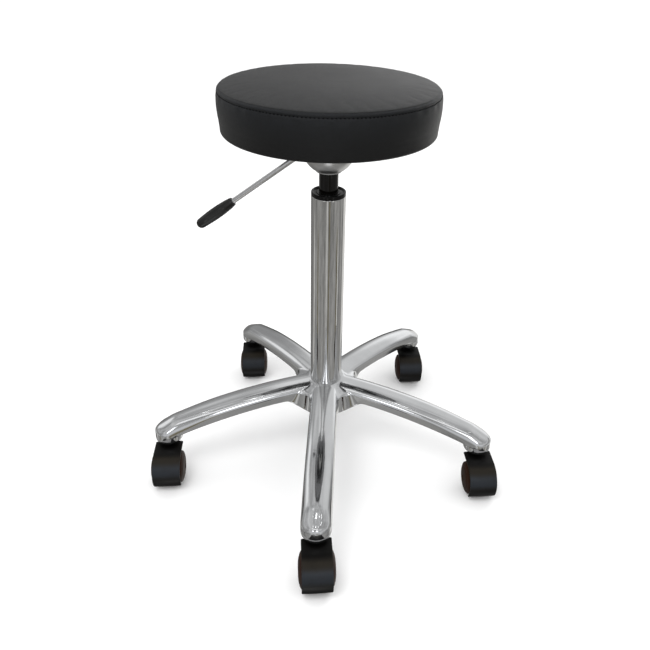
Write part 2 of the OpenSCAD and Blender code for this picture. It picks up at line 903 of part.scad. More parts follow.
module hood(k) {
    inner = hood_web / 2;
    color("#161617") on_caster(k) difference() {
        intersection() {
            rotate([90, 0, 90]) linear_extrude(hood_w, center = true) hood_side();
            union() {
                cylinder(r = hood_front, h = hood_top);
                translate([-hood_w / 2, -trail - hood_r - over, 0]) cube([hood_w, trail + hood_r + over, hood_top]);
            }
        }
        for (side = [-1, 1])
            on_axle()
            translate([0, 0, side * (inner + hood_w / 2)])
            cylinder(r = wheel_r + wheel_gap, h = hood_w, center = true);
        on_axle() cylinder(d = axle_d + 2 * snug, h = hood_w, center = true);
        translate([0, 0, hood_top - seat_depth]) cylinder(r = stem_d / 2 + run_fit, h = seat_depth + over);
    }
}

module axle(k) {
    color("lightgray") on_caster(k) on_axle() cylinder(d = axle_d, h = hood_w - 2 * axle_inset, center = true);
}

// A wheel: a flat tread, a domed outer face and a dished inner face round its hub
module wheel(k, side) {
    start = hood_web / 2 + air;
    outer = start + tread_w;
    lip = 1.5;
    dish = 4;
    bore = axle_d / 2 + run_fit;
    hub_wall = 3;
    hub = axle_d / 2 + hub_wall;
    cap_z = hood_w / 2 - axle_inset + air;
    color("#1d1d1f") on_caster(k) on_axle() mirror([0, 0, side < 0 ? 1 : 0]) rotate_extrude() polygon(concat(
        [[bore, start]],
        [[hub, start]],
        [[hub + dish / 2, start + dish]],
        [[wheel_r - 2 * dish, start + dish]],
        [[wheel_r - dish, start]],
        [[wheel_r - lip, start]],
        [[wheel_r, start + lip]],
        [[wheel_r, outer - lip]],
        [[wheel_r - lip, outer]],
        [for (a = [0:10:90]) [(wheel_r - 2 * lip) * cos(a), outer + dome_h * sin(a)]],
        [[0, cap_z]],
        [[bore, cap_z]]
    ));
}

star_base();
column_tube();
guide_bush();
tube_disc();
lower_race();
ball_cage();
thrust_balls();
caster_stems();
grip_rings();
piston_rod();
piston_head();
upper_race();
rubber_buffer();
end_washer();
end_clip();
gas_cylinder();
pressure_tube();
rod_gland();
valve_body();
release_pin();
lift_bracket();
lever_bracket();
lever_pin();
seat_plate();
bell();
plate_bolts();
plate_washers();
t_nuts();
seat_board();
seat_foam();
cover_top();
cover_band();
dust_cloth();
staples();
lever_rod();
lever_grip();
for (k = [1:5]) hood(k - 1);
for (k = [1:5]) axle(k - 1);
for (k = [1:5]) wheel(k - 1, -1);
for (k = [1:5]) wheel(k - 1, 1);
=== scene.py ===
import json
import math
from functools import cache, partial

import bmesh
import bpy
import numpy as np
from bpy.props import FloatProperty, FloatVectorProperty, IntProperty, PointerProperty
from mathutils import Matrix

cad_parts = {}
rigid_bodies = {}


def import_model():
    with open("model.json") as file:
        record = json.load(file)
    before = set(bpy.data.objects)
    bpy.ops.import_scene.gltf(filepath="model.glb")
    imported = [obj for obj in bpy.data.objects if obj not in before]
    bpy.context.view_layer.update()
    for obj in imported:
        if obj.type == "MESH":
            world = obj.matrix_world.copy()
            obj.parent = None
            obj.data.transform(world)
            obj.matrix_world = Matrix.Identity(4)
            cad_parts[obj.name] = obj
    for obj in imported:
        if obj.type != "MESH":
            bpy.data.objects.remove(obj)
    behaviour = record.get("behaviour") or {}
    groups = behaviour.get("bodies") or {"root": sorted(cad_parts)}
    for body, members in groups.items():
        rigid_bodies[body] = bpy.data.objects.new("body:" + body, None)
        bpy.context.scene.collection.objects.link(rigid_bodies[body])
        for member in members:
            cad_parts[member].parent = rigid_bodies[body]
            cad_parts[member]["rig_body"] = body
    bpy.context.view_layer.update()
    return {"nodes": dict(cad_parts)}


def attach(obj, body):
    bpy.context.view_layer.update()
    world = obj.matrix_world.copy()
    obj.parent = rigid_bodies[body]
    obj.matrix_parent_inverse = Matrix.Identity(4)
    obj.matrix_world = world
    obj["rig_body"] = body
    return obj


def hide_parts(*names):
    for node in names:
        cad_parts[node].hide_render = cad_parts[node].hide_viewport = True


bl_info = {
    "name": "Salon Stool",
    "version": (1, 0, 0),
    "blender": (4, 5, 0),
    "location": "3D View > Sidebar > Salon Stool",
    "description": "Dresses a gas-lift salon stool: padded seat, lever, chromed column, star base and casters",
    "category": "Object",
}

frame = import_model()

MM = 0.001
TURN = 2 * np.pi
ARMS = 5
BETWEEN = np.pi / ARMS  # half the angle between two arms
WELD_STEPS = 200  # points that fall on the same 1/200 mm become one
TINY = 1e-6
UP = np.array([0, 0, 1.0])


# Sizes and colours


def length(name, description, millimetres):
    return FloatProperty(name=name, description=description, default=millimetres * MM, unit="LENGTH", precision=4)


def colour(name, description, rgb):
    return FloatVectorProperty(
        name=name, description=description, default=rgb, size=3, min=0, max=1, subtype="COLOR"
    )


def arm_angle(k):
    """Direction of arm k, of which arm 0 points at the camera."""
    return -np.pi / 2 + 2 * k * BETWEEN


class SeatSizes(bpy.types.PropertyGroup):
    seam_radius: length("Seam radius", "Radius of the cushion at its top seam", 150.5)
    board_height: length("Board height", "Height of the board's underside above the floor", 549.3)
    seat_height: length("Cushion height", "From the board's underside to the top seam", 60)
    crown: length("Crown", "How far the top rises above its seam", 11)
    bulge: length("Bulge", "How far the side band swells past the seam", 2.8)
    edge: length("Bottom edge", "Radius of the turned-in bottom edge", 4.5)
    stitch_pitch: length("Stitch pitch", "Distance from one top stitch to the next", 5)
    stitch_drop: length("Stitch line", "How far the top stitching runs below the seam", 5.6)
    puff: FloatProperty(
        name="Puff", description="Share of the simulated puckers that is kept", default=0.24, subtype="FACTOR"
    )
    vinyl: colour("Vinyl", "Colour of the seat's vinyl", (0.0105, 0.0108, 0.0112))


class BaseSizes(bpy.types.PropertyGroup):
    reach: length("Reach", "From the column's axis to each caster's stem", 258)
    fall: length("Fall", "How far an arm falls from the hub to its nose", 39)
    middle: length("Middle", "Height of an arm's widest level at the hub", 116)
    half_width: length("Half width", "Half the width of an arm", 21.5)
    above: length("Above", "Height of an arm's crown above its widest level", 16)
    below: length("Below", "Depth of an arm's underside below its widest level", 8)
    bore: length("Bore", "Radius of the hub's bore", 25.52)
    boss_low: length("Boss", "Height of the bosses' lower faces above the floor", 57.6)


class ColumnSizes(bpy.types.PropertyGroup):
    tube: length("Tube radius", "Outside radius of the chromed tube", 25.5)
    tube_top: length("Tube top", "Height of the tube's rim above the floor", 451)
    cylinder: length("Cylinder radius", "Radius of the gas spring", 14)
    bell: length("Bell radius", "Radius of the bell under the seat", 38.5)
    segments: IntProperty(name="Segments", description="Segments round the tube and its bush", default=144, min=48)


class CasterSizes(bpy.types.PropertyGroup):
    wheel: length("Wheel radius", "Radius of a wheel", 25)
    trail: length("Trail", "From a caster's stem to its axle", 31)
    hood: length("Hood radius", "Outside radius of the hood round the axle", 29.3)
    hood_width: length("Hood width", "Width of the hood", 42.2)
    dome: length("Dome", "How far a wheel's face stands out past its tread", 4.8)
    heading: FloatProperty(
        name="Heading", description="Direction in which the casters trail", default=math.radians(6), subtype="ANGLE"
    )


class LeverSizes(bpy.types.PropertyGroup):
    rod: length("Rod radius", "Radius of the lever's rod", 4)
    grip: length("Grip radius", "Greatest radius of the grip", 9)
    grip_length: length("Grip length", "Length of the grip", 68)
    reach: length("Reach", "From the column's axis to the grip's tip", 194)
    fall: FloatProperty(
        name="Fall", description="Angle at which the lever falls", default=math.radians(37), subtype="ANGLE"
    )
    flutes: IntProperty(name="Flutes", description="Number of flutes round the grip", default=10, min=6)


class StudioSizes(bpy.types.PropertyGroup):
    lens: FloatProperty(name="Lens", description="Focal length of the camera in millimetres", default=37.27)
    key: FloatProperty(name="Key light", description="Power of the large soft light in watts", default=14)
    sky: FloatProperty(name="Room light", description="Strength of the room's even light", default=1)
    floor: colour("Floor", "Colour of the floor", (0.96, 0.96, 0.96))


GROUPS = {
    "stool_seat": SeatSizes,
    "stool_base": BaseSizes,
    "stool_column": ColumnSizes,
    "stool_casters": CasterSizes,
    "stool_lever": LeverSizes,
    "stool_studio": StudioSizes,
}


class Millimetres:
    """Reads a group's lengths in millimetres, so that the formulas below can use them as drawn."""

    def __init__(self, group):
        self.group = group

    def __getattr__(self, name):
        return getattr(self.group, name) / MM


# Surfaces on grids


def grid_quads(rows, columns, close_rows=False, close_columns=False):
    """Quads of a grid whose points are stored row by row; either direction may run round and close."""
    i, j = np.meshgrid(
        np.arange(rows - (not close_rows)), np.arange(columns - (not close_columns)), indexing="ij"
    )
    up, on = (i + 1) % rows, (j + 1) % columns
    corners = i * columns + j, i * columns + on, up * columns + on, up * columns + j
    return np.stack(corners, -1).reshape(-1, 4)


def joined(*shapes):
    """Several (points, quads) shapes as one."""
    starts = np.cumsum([0] + [len(points) for points, _ in shapes[:-1]])
    quads = [quads + start for (_, quads), start in zip(shapes, starts)]
    return np.concatenate([points for points, _ in shapes]), np.concatenate(quads)


def polar(r, a, z):
    """A list of points from their distance from the upright axis, angle about it and height."""
    return np.stack(np.broadcast_arrays(r * np.cos(a), r * np.sin(a), z), -1).reshape(-1, 3)


def turned(profile, segments, close=True):
    """A profile of (radius, height) carried round the upright axis: x = r cos a, y = r sin a, z = h.

    A closed profile makes a ring.
    """
    a = np.linspace(0, TURN, segments, endpoint=False)
    r, h = np.asarray(profile, float).T[:, :, None]
    return polar(r, a, h), grid_quads(len(r), segments, close, True)


def softened(corners, reach, steps=5, close=True):
    """An outline with rounded corners: corner C becomes (1-t)^2 A + 2t(1-t) C + t^2 B.

    A and B lie at the given reach from C along its two sides, at most 0.45 of the shorter side.
    """
    c = np.asarray(corners, float)
    before, after = np.roll(c, 1, 0) - c, np.roll(c, -1, 0) - c
    lb, la = (np.maximum(np.linalg.norm(v, axis=1), 1e-9) for v in (before, after))
    cut = np.minimum(np.broadcast_to(reach, len(c)), 0.45 * np.minimum(lb, la))
    if not close:
        cut = cut * (np.arange(len(c)) % (len(c) - 1) > 0)
    a, b = c + before * (cut / lb)[:, None], c + after * (cut / la)[:, None]
    t = np.linspace(0, 1, steps)[None, :, None]
    return ((1 - t) ** 2 * a[:, None] + 2 * t * (1 - t) * c[:, None] + t * t * b[:, None]).reshape(-1, 2)


def carried(path, across, section, round_end=1.0):
    """A closed section carried along a flat path: point (u, v) of it goes to path + u * across + v * normal.

    path is (n, 3) points, across one unit vector, section (n, m, 2) or (m, 2). Both ends are rounded and closed at
    their middles.
    """
    tangent = np.gradient(path, axis=0)
    tangent /= np.linalg.norm(tangent, axis=1)[:, None]
    normal = np.cross(across, tangent)
    section = np.broadcast_to(section, (len(path),) + np.shape(section)[-2:])
    body = path[:, None] + section[..., :1] * across + section[..., 1:] * normal[:, None]
    caps = []
    for end, way in ((0, -1), (-1, 1)):
        middle = body[end].mean(0)
        size = np.abs(body[end] - middle).max()
        a = np.linspace(0, np.pi / 2, 4)[1:, None, None]
        shrink = 1 - (1 - np.cos(a)) * round_end / size
        ring = middle + (body[end] - middle) * shrink + way * tangent[end] * np.sin(a) * round_end
        caps.append(np.concatenate([ring, np.broadcast_to(ring[-1].mean(0), (1,) + ring[-1].shape)]))
    points = np.concatenate([caps[0][::-1], body, caps[1]])
    return points.reshape(-1, 3), grid_quads(points.shape[0], points.shape[1], False, True)


def smooth(t):
    """0 up to t = 0, 1 from t = 1 on, 3t^2 - 2t^3 between."""
    t = np.clip(t, 0, 1)
    return t * t * (3 - 2 * t)


def bump(at, middle, wide):
    """A rounded bump, exp(-((at - middle) / wide)^2)."""
    return np.exp(-(((at - middle) / wide) ** 2))


def larger(a, b, soft, way=1):
    """The larger of a and b, or with way = -1 the smaller, changing over along a curve instead of a kink."""
    return (a + b + way * np.sqrt((a - b) ** 2 + soft)) / 2


def placed(points, angle=0.0, move=(0, 0, 0)):
    """Points turned about the upright axis, then moved."""
    c, s = np.cos(angle), np.sin(angle)
    return points @ np.array([[c, s, 0], [-s, c, 0], [0, 0, 1]]) + np.asarray(move, float)


def mesh_piece(name, points, quads, sharp=40, marks=None):
    """Puts a shape given in millimetres into a new object.

    Points that coincide become one, which closes seams and poles, and quads that lose a corner become triangles.
    """
    _, first, back = np.unique(
        np.round(points * WELD_STEPS).astype(np.int64), axis=0, return_index=True, return_inverse=True
    )
    quads = back.reshape(-1)[quads]
    same = quads == np.roll(quads, 1, axis=1)
    lost = same.sum(1)
    four = quads[lost == 0]
    three = quads[lost == 1][~same[lost == 1]].reshape(-1, 3)
    mesh = bpy.data.meshes.new(name)
    mesh.vertices.add(len(first))
    mesh.vertices.foreach_set("co", (points[first] * MM).astype(np.float32).ravel())
    mesh.loops.add(four.size + three.size)
    mesh.loops.foreach_set("vertex_index", np.concatenate([four.ravel(), three.ravel()]).astype(np.int32))
    mesh.polygons.add(len(four) + len(three))
    starts = np.concatenate([np.arange(len(four)) * 4, four.size + np.arange(len(three)) * 3])
    mesh.polygons.foreach_set("loop_start", starts.astype(np.int32))
    mesh.update(calc_edges=True)
    for mark, values in (marks or {}).items():
        mesh.attributes.new(mark, "FLOAT", "POINT").data.foreach_set("value", values[first].astype(np.float32))
    mesh.validate()
    work = bmesh.new()
    work.from_mesh(mesh)
    bmesh.ops.recalc_face_normals(work, faces=work.faces)
    work.to_mesh(mesh)
    work.free()
    mesh.shade_smooth()
    mesh.set_sharp_from_angle(angle=math.radians(sharp))
    piece = bpy.data.objects.new(name, mesh)
    bpy.context.scene.collection.objects.link(piece)
    return piece


def dress(piece, finish, slot, *nodes, body=None):
    """Gives a piece its finish, lets it ride with the CAD nodes that it stands for, and hides them; the slot is not
    used.
    """
    piece.data.materials.clear()
    piece.data.materials.append(material(finish))
    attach(piece, body or frame["nodes"][nodes[0]]["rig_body"])
    if nodes:
        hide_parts(*nodes)


# Finishes


class Value:
    """A number inside a node tree. Arithmetic on it adds the Math nodes."""

    def __init__(self, nodes, socket):
        self.nodes, self.socket = nodes, socket

    def math(self, operation, *others):
        return self.nodes.value("ShaderNodeMath", {"operation": operation}, dict(enumerate((self,) + others)))

    def __add__(self, other):
        return self.math("ADD", other)

    def __sub__(self, other):
        return self.math("SUBTRACT", other)

    def __mul__(self, other):
        return self.math("MULTIPLY", other)

    def __rsub__(self, other):
        return self.nodes.value("ShaderNodeMath", {"operation": "SUBTRACT"}, {0: other, 1: self})

    __radd__, __rmul__ = __add__, __mul__

    def sine(self):
        return self.math("SINE")

    def step(self, low, high):
        """0 below low, 1 above high, smooth between."""
        ends = {"Value": self, "From Min": low, "From Max": high}
        return self.nodes.value("ShaderNodeMapRange", {"interpolation_type": "SMOOTHSTEP"}, ends)


class Nodes:
    """Adds nodes to a tree and links them."""

    def __init__(self, tree):
        self.tree = tree

    def feed(self, socket, source):
        source = getattr(source, "socket", source)
        if isinstance(source, bpy.types.NodeSocket):
            self.tree.links.new(source, socket)
        elif socket.type == "RGBA" and len(source) == 3:
            socket.default_value = (*source, 1)
        else:
            socket.default_value = source

    def node(self, kind, settings=None, inputs=None):
        """Adds a node: its settings first, then the values and links of its sockets."""
        made = self.tree.nodes.new(kind)
        for key, setting in (settings or {}).items():
            setattr(made, key, setting)
        for key, source in (inputs or {}).items():
            self.feed(made.inputs[key], source)
        return made

    def value(self, kind, settings=None, inputs=None, output=0):
        return Value(self, self.node(kind, settings, inputs).outputs[output])

    def blend(self, factor, first, second):
        """A colour between two others."""
        mix = self.node("ShaderNodeMix", {"data_type": "RGBA"}, {0: factor, 6: first, 7: second})
        return mix.outputs[2]


class Finish(Nodes):
    """A procedural material: a Principled shader with its constant values, and the nodes that vary the rest."""

    def __init__(self, name, **constants):
        self.material = bpy.data.materials.new(name)
        self.material.use_nodes = True
        super().__init__(self.material.node_tree)
        self.shader = self.tree.nodes["Principled BSDF"]
        for key, number in constants.items():
            self.feed(self.shader.inputs[key.replace("_", " ").title().replace("Ior", "IOR")], number)
        self.place = self.node("ShaderNodeTexCoord").outputs["Object"]

    def along(self, axis):
        """The place along X, Y or Z (0, 1 or 2) in metres; along Z it is the height above the floor."""
        return self.value("ShaderNodeSeparateXYZ", None, {0: self.place}, output=axis)

    def noise(self, size, detail=2.0, rough=0.5, stretch=(1, 1, 1)):
        """Noise with features of about the given size in millimetres."""
        spot = self.node("ShaderNodeMapping", None, {"Vector": self.place, "Scale": stretch}).outputs[0]
        return self.value(
            "ShaderNodeTexNoise",
            {"noise_dimensions": "3D"},
            {"Vector": spot, "Scale": 1 / (size * MM), "Detail": detail, "Roughness": rough},
        )

    def cells(self, size):
        """Distance to the edge of the nearest cell, for grain; cells are about size millimetres wide."""
        wander = self.node("ShaderNodeTexNoise", None, {"Vector": self.place, "Scale": 1 / (2.4 * size * MM)})
        spot = self.node(
            "ShaderNodeVectorMath",
            {"operation": "MULTIPLY_ADD"},
            {0: wander.outputs["Color"], 1: (size * MM,) * 3, 2: self.place},
        ).outputs[0]
        return self.value(
            "ShaderNodeTexVoronoi", {"feature": "DISTANCE_TO_EDGE"}, {"Vector": spot, "Scale": 1 / (size * MM)}
        )

    def mark(self, name):
        """A mark stored on the mesh's own points."""
        return self.value("ShaderNodeAttribute", {"attribute_name": name}, output=2)

    def tint(self, source):
        self.feed(self.shader.inputs["Base Color"], source)
        return self

    def gloss(self, source):
        self.feed(self.shader.inputs["Roughness"], source)
        return self

    def relief(self, height, millimetres):
        """A bump whose height of 1 stands for the given number of millimetres."""
        bent = self.node("ShaderNodeBump", None, {"Strength": 1.0, "Distance": millimetres * MM, "Height": height})
        self.feed(self.shader.inputs["Normal"], bent.outputs[0])
        return self


def polished_aluminium():
    """Buffed die casting: bright with a faint orange peel, dull and grey in its hollow underside."""
    f = Finish("polished_aluminium")
    raw = f.mark("raw")
    f.feed(f.shader.inputs["Metallic"], 1 - 0.7 * raw)
    cloud = f.noise(38, 3)
    f.tint(f.blend(raw, f.blend(cloud, (0.68, 0.69, 0.70), (0.84, 0.85, 0.86)), (0.42, 0.42, 0.43)))
    f.gloss(0.05 + 0.10 * cloud + 0.38 * raw)
    peel = 2.2 * f.noise(17, 2) + f.noise(5.5, 1.5) + 0.2 * f.noise(1.1, 2)
    return f.relief(peel + raw * f.noise(0.7, 3) * 0.9, 0.036).material


def chromed(name, colour_a, colour_b, wave):
    """Chrome plate over drawn steel, with faint waves along its length."""
    f = Finish(name, metallic=1.0)
    streak = f.noise(2.4, 3, 0.6, stretch=(1, 1, 0.09))
    f.tint(f.blend(streak.step(0.25, 0.75), colour_a, colour_b))
    f.gloss(0.035 + 0.05 * f.noise(24, 3))
    return f.relief(f.noise(16, 2, stretch=(1, 1, 0.3)) + 0.5 * streak, wave).material


def satin_bell():
    """Satin nickel: fine rings from its polishing wheel."""
    f = Finish("satin_bell", metallic=1.0)
    ring = f.noise(0.7, 2, stretch=(0.02, 0.02, 1))
    f.tint(f.blend(f.noise(20), (0.60, 0.60, 0.60), (0.70, 0.70, 0.69)))
    f.gloss(0.29 + 0.10 * ring)
    return f.relief(ring, 0.012).material


def black_enamel():
    """Baked black enamel on the gas spring."""
    f = Finish("black_enamel", specular_ior_level=0.32)
    f.tint(f.blend(f.noise(30), (0.0025, 0.0022, 0.0020), (0.0060, 0.0050, 0.0042)))
    f.gloss(0.04 + 0.08 * f.noise(9, 3))
    return f.relief(f.noise(6, 2), 0.02).material


def moulded(name, dark, light, rough, grain, depth, shine=0.5):
    """Moulded plastic: a fine spark-eroded grain, grain mm wide, under a slight unevenness of its gloss."""
    f = Finish(name, specular_ior_level=shine)
    f.tint(f.blend(f.noise(14, 3), dark, light))
    f.gloss(rough + 0.14 * f.noise(18, 3))
    return f.relief(f.noise(grain, 2) + 0.5 * f.noise(grain * 5, 2), depth).material


def hood_nylon():
    """Black nylon with painted light: a painted brownish reflection over the shoulder, a painted bluish-grey highlight
    on the hood's widest part, and painted shade, black, beyond.
    """
    f = Finish("hood_nylon", specular_ior_level=0.2)
    height = f.along(2)
    patch = 0.6 + 0.8 * f.noise(12, 3)

    def belt(low, full, thin, high):
        """1 between the heights full and thin, 0 outside low and high, all in metres."""
        return height.step(low, full) * height.step(high, thin) * patch

    # Painted highlight: a bluish-grey belt between 24 and 50 mm high; above it a painted brownish reflection on the
    # shoulder.
    painted_highlight, shoulder = belt(0.024, 0.036, 0.042, 0.050), belt(0.020, 0.040, 0.0515, 0.0548)
    # Painted shade: black above and below the belts.
    brown = f.blend(shoulder, (0.0014, 0.0012, 0.0010), (0.0160, 0.0130, 0.0090))
    f.tint(f.blend(painted_highlight, brown, (0.0230, 0.0265, 0.0320)))
    f.gloss(0.30 + 0.14 * f.noise(18, 3))
    return f.relief(f.noise(0.45, 2) + 0.5 * f.noise(2.2, 2), 0.018).material


def plated(name, dark, light, rough):
    """Plated or bare metal hardware: clouded colour, fine scratches."""
    f = Finish(name, metallic=1.0)
    scratch = f.noise(0.8, 2, stretch=(0.1, 1, 1))
    f.tint(f.blend(f.noise(7, 3), dark, light))
    f.gloss(rough + 0.18 * f.noise(5, 3))
    return f.relief(scratch, 0.008).material


def black_steel():
    """Powder-coated steel plate."""
    f = Finish("black_steel")
    f.tint(f.blend(f.noise(9, 3), (0.012, 0.012, 0.013), (0.026, 0.026, 0.027)))
    f.gloss(0.42 + 0.16 * f.noise(3, 3))
    return f.relief(f.noise(1.1, 2), 0.05).material


def plywood():
    """Beech plywood: grain along X, darker glue lines between its veneers."""
    f = Finish("plywood")
    veneer = 1.7 * MM
    grain = f.noise(5, 4, stretch=(0.06, 1, 1))
    line = (f.along(2) * (TURN / veneer)).sine().step(0.7, 1.0)
    f.tint(f.blend(line, f.blend(grain, (0.52, 0.34, 0.18), (0.70, 0.51, 0.31)), (0.24, 0.14, 0.07)))
    f.gloss(0.62 + 0.15 * grain)
    return f.relief(grain, 0.06).material


def seat_vinyl():
    """Calendered vinyl: small leather grain, broader creasing and a soft uneven shine; painted light: the top panel
    painted lighter, the band painted with a bluish reflection and with painted shade that darkens it downwards.
    """
    f = Finish("seat_vinyl", sheen_weight=0.05, sheen_roughness=0.4, specular_ior_level=0.34)
    base = np.array(bpy.context.scene.stool_seat.vinyl)
    broad = f.noise(46, 3)
    grain = f.cells(1.35).step(0.0, 0.16)
    # Painted shade: the band's colour darkens to a fifth towards its bottom edge.
    shade = f.along(2).step(0.546, 0.608)
    # Painted reflection: the band's colour is tinted bluish.
    side = f.blend(broad, tuple(base * (0.75, 0.86, 1.00)), tuple(base * (1.05, 1.22, 1.50)))
    # Painted light: the top panel's colour is 1.5 to 2.3 times the band's, as if lit from above.
    top = f.blend(broad, tuple(1.5 * base), tuple(2.3 * base))
    vinyl = f.blend(f.mark("top"), f.blend(shade, tuple(0.2 * base), side), top)
    f.tint(f.blend(grain, tuple(0.55 * base), vinyl))
    f.gloss(0.44 - 0.10 * grain + 0.10 * broad)
    return f.relief(grain + 0.45 * f.noise(0.5, 2) + 1.3 * f.noise(9, 3), 0.055).material


def thread():
    """Twisted polyester thread."""
    f = Finish("thread", specular_ior_level=0.15)
    twist = f.noise(0.35, 2)
    f.tint(f.blend(twist, (0.0008, 0.0008, 0.0010), (0.003, 0.003, 0.004)))
    f.gloss(0.45 + 0.2 * twist)
    return f.relief(twist, 0.06).material


def dust_cloth():
    """Spun-bonded cloth: pressed fibres with a fine diamond emboss."""
    f = Finish("dust_cloth")
    x, y = f.along(0), f.along(1)
    pitch = TURN / (2.2 * MM)
    emboss = ((x + y) * pitch).sine() * ((x - y) * pitch).sine()
    fibre = f.noise(0.8, 4, 0.7)
    f.tint(f.blend(fibre, (0.27, 0.27, 0.275), (0.40, 0.40, 0.405)))
    f.gloss(0.78 + 0.15 * fibre)
    return f.relief(emboss * 0.4 + fibre, 0.07).material


# The plain families: the arguments of each finish, after its name
FAMILIES = {
    chromed: {
        "chrome_tube": ((0.58, 0.58, 0.575), (0.76, 0.76, 0.76), 0.05),
        "chrome_rod": ((0.54, 0.54, 0.55), (0.66, 0.66, 0.66), 0.012),
    },
    moulded: {
        "bush_plastic": ((0.0015, 0.0015, 0.0015), (0.003, 0.003, 0.003), 0.07, 0.5, 0.012, 0.24),
        "wheel_nylon": ((0.018, 0.0062, 0.0030), (0.032, 0.0110, 0.0050), 0.34, 0.5, 0.018, 0.14),
        "grip_plastic": ((0.0025, 0.0025, 0.0025), (0.005, 0.005, 0.005), 0.10, 0.4, 0.012, 0.55),
        "white_plastic": ((0.70, 0.70, 0.68), (0.80, 0.80, 0.78), 0.32, 0.5, 0.01),
        "rubber": ((0.015, 0.015, 0.015), (0.028, 0.027, 0.026), 0.60, 0.4, 0.03),
    },
    plated: {
        "zinc_steel": ((0.52, 0.53, 0.55), (0.66, 0.66, 0.63), 0.22),
        "axle_steel": ((0.50, 0.50, 0.50), (0.60, 0.60, 0.60), 0.18),
        "spring_steel": ((0.34, 0.34, 0.36), (0.46, 0.45, 0.44), 0.26),
        "brass": ((0.62, 0.44, 0.16), (0.76, 0.57, 0.25), 0.22),
        "dark_alloy": ((0.16, 0.16, 0.17), (0.26, 0.26, 0.26), 0.34),
    },
}
FINISHES = {
    make.__name__: make
    for make in (
        polished_aluminium, satin_bell, black_enamel, hood_nylon, black_steel, plywood, seat_vinyl, thread, dust_cloth
    )
}
for family, members in FAMILIES.items():
    FINISHES.update({name: partial(family, name, *values) for name, values in members.items()})


@cache
def material(finish):
    """The material of a finish, made the first time that it is asked for."""
    return FINISHES[finish]()


# The CAD nodes that keep their own mesh, by their finish
KEPT = {
    "dark_alloy": ("tube_disc", "piston_head", "rod_gland"),
    "axle_steel": (
        "lower_race", "upper_race", "thrust_balls", "pressure_tube", "lever_pin",
        *(f"axle_{k + 1}" for k in range(ARMS)),
    ),
    "brass": ("ball_cage", "valve_body"),
    "zinc_steel": (
        "caster_stems", "end_washer", "lift_bracket", "lever_bracket", "plate_bolts", "plate_washers", "t_nuts",
        "staples",
    ),
    "spring_steel": ("grip_rings", "end_clip"),
    "chrome_rod": ("piston_rod",),
    "rubber": ("rubber_buffer",),
    "white_plastic": ("release_pin",),
    "black_steel": ("seat_plate",),
    "plywood": ("seat_board",),
}


# Star base


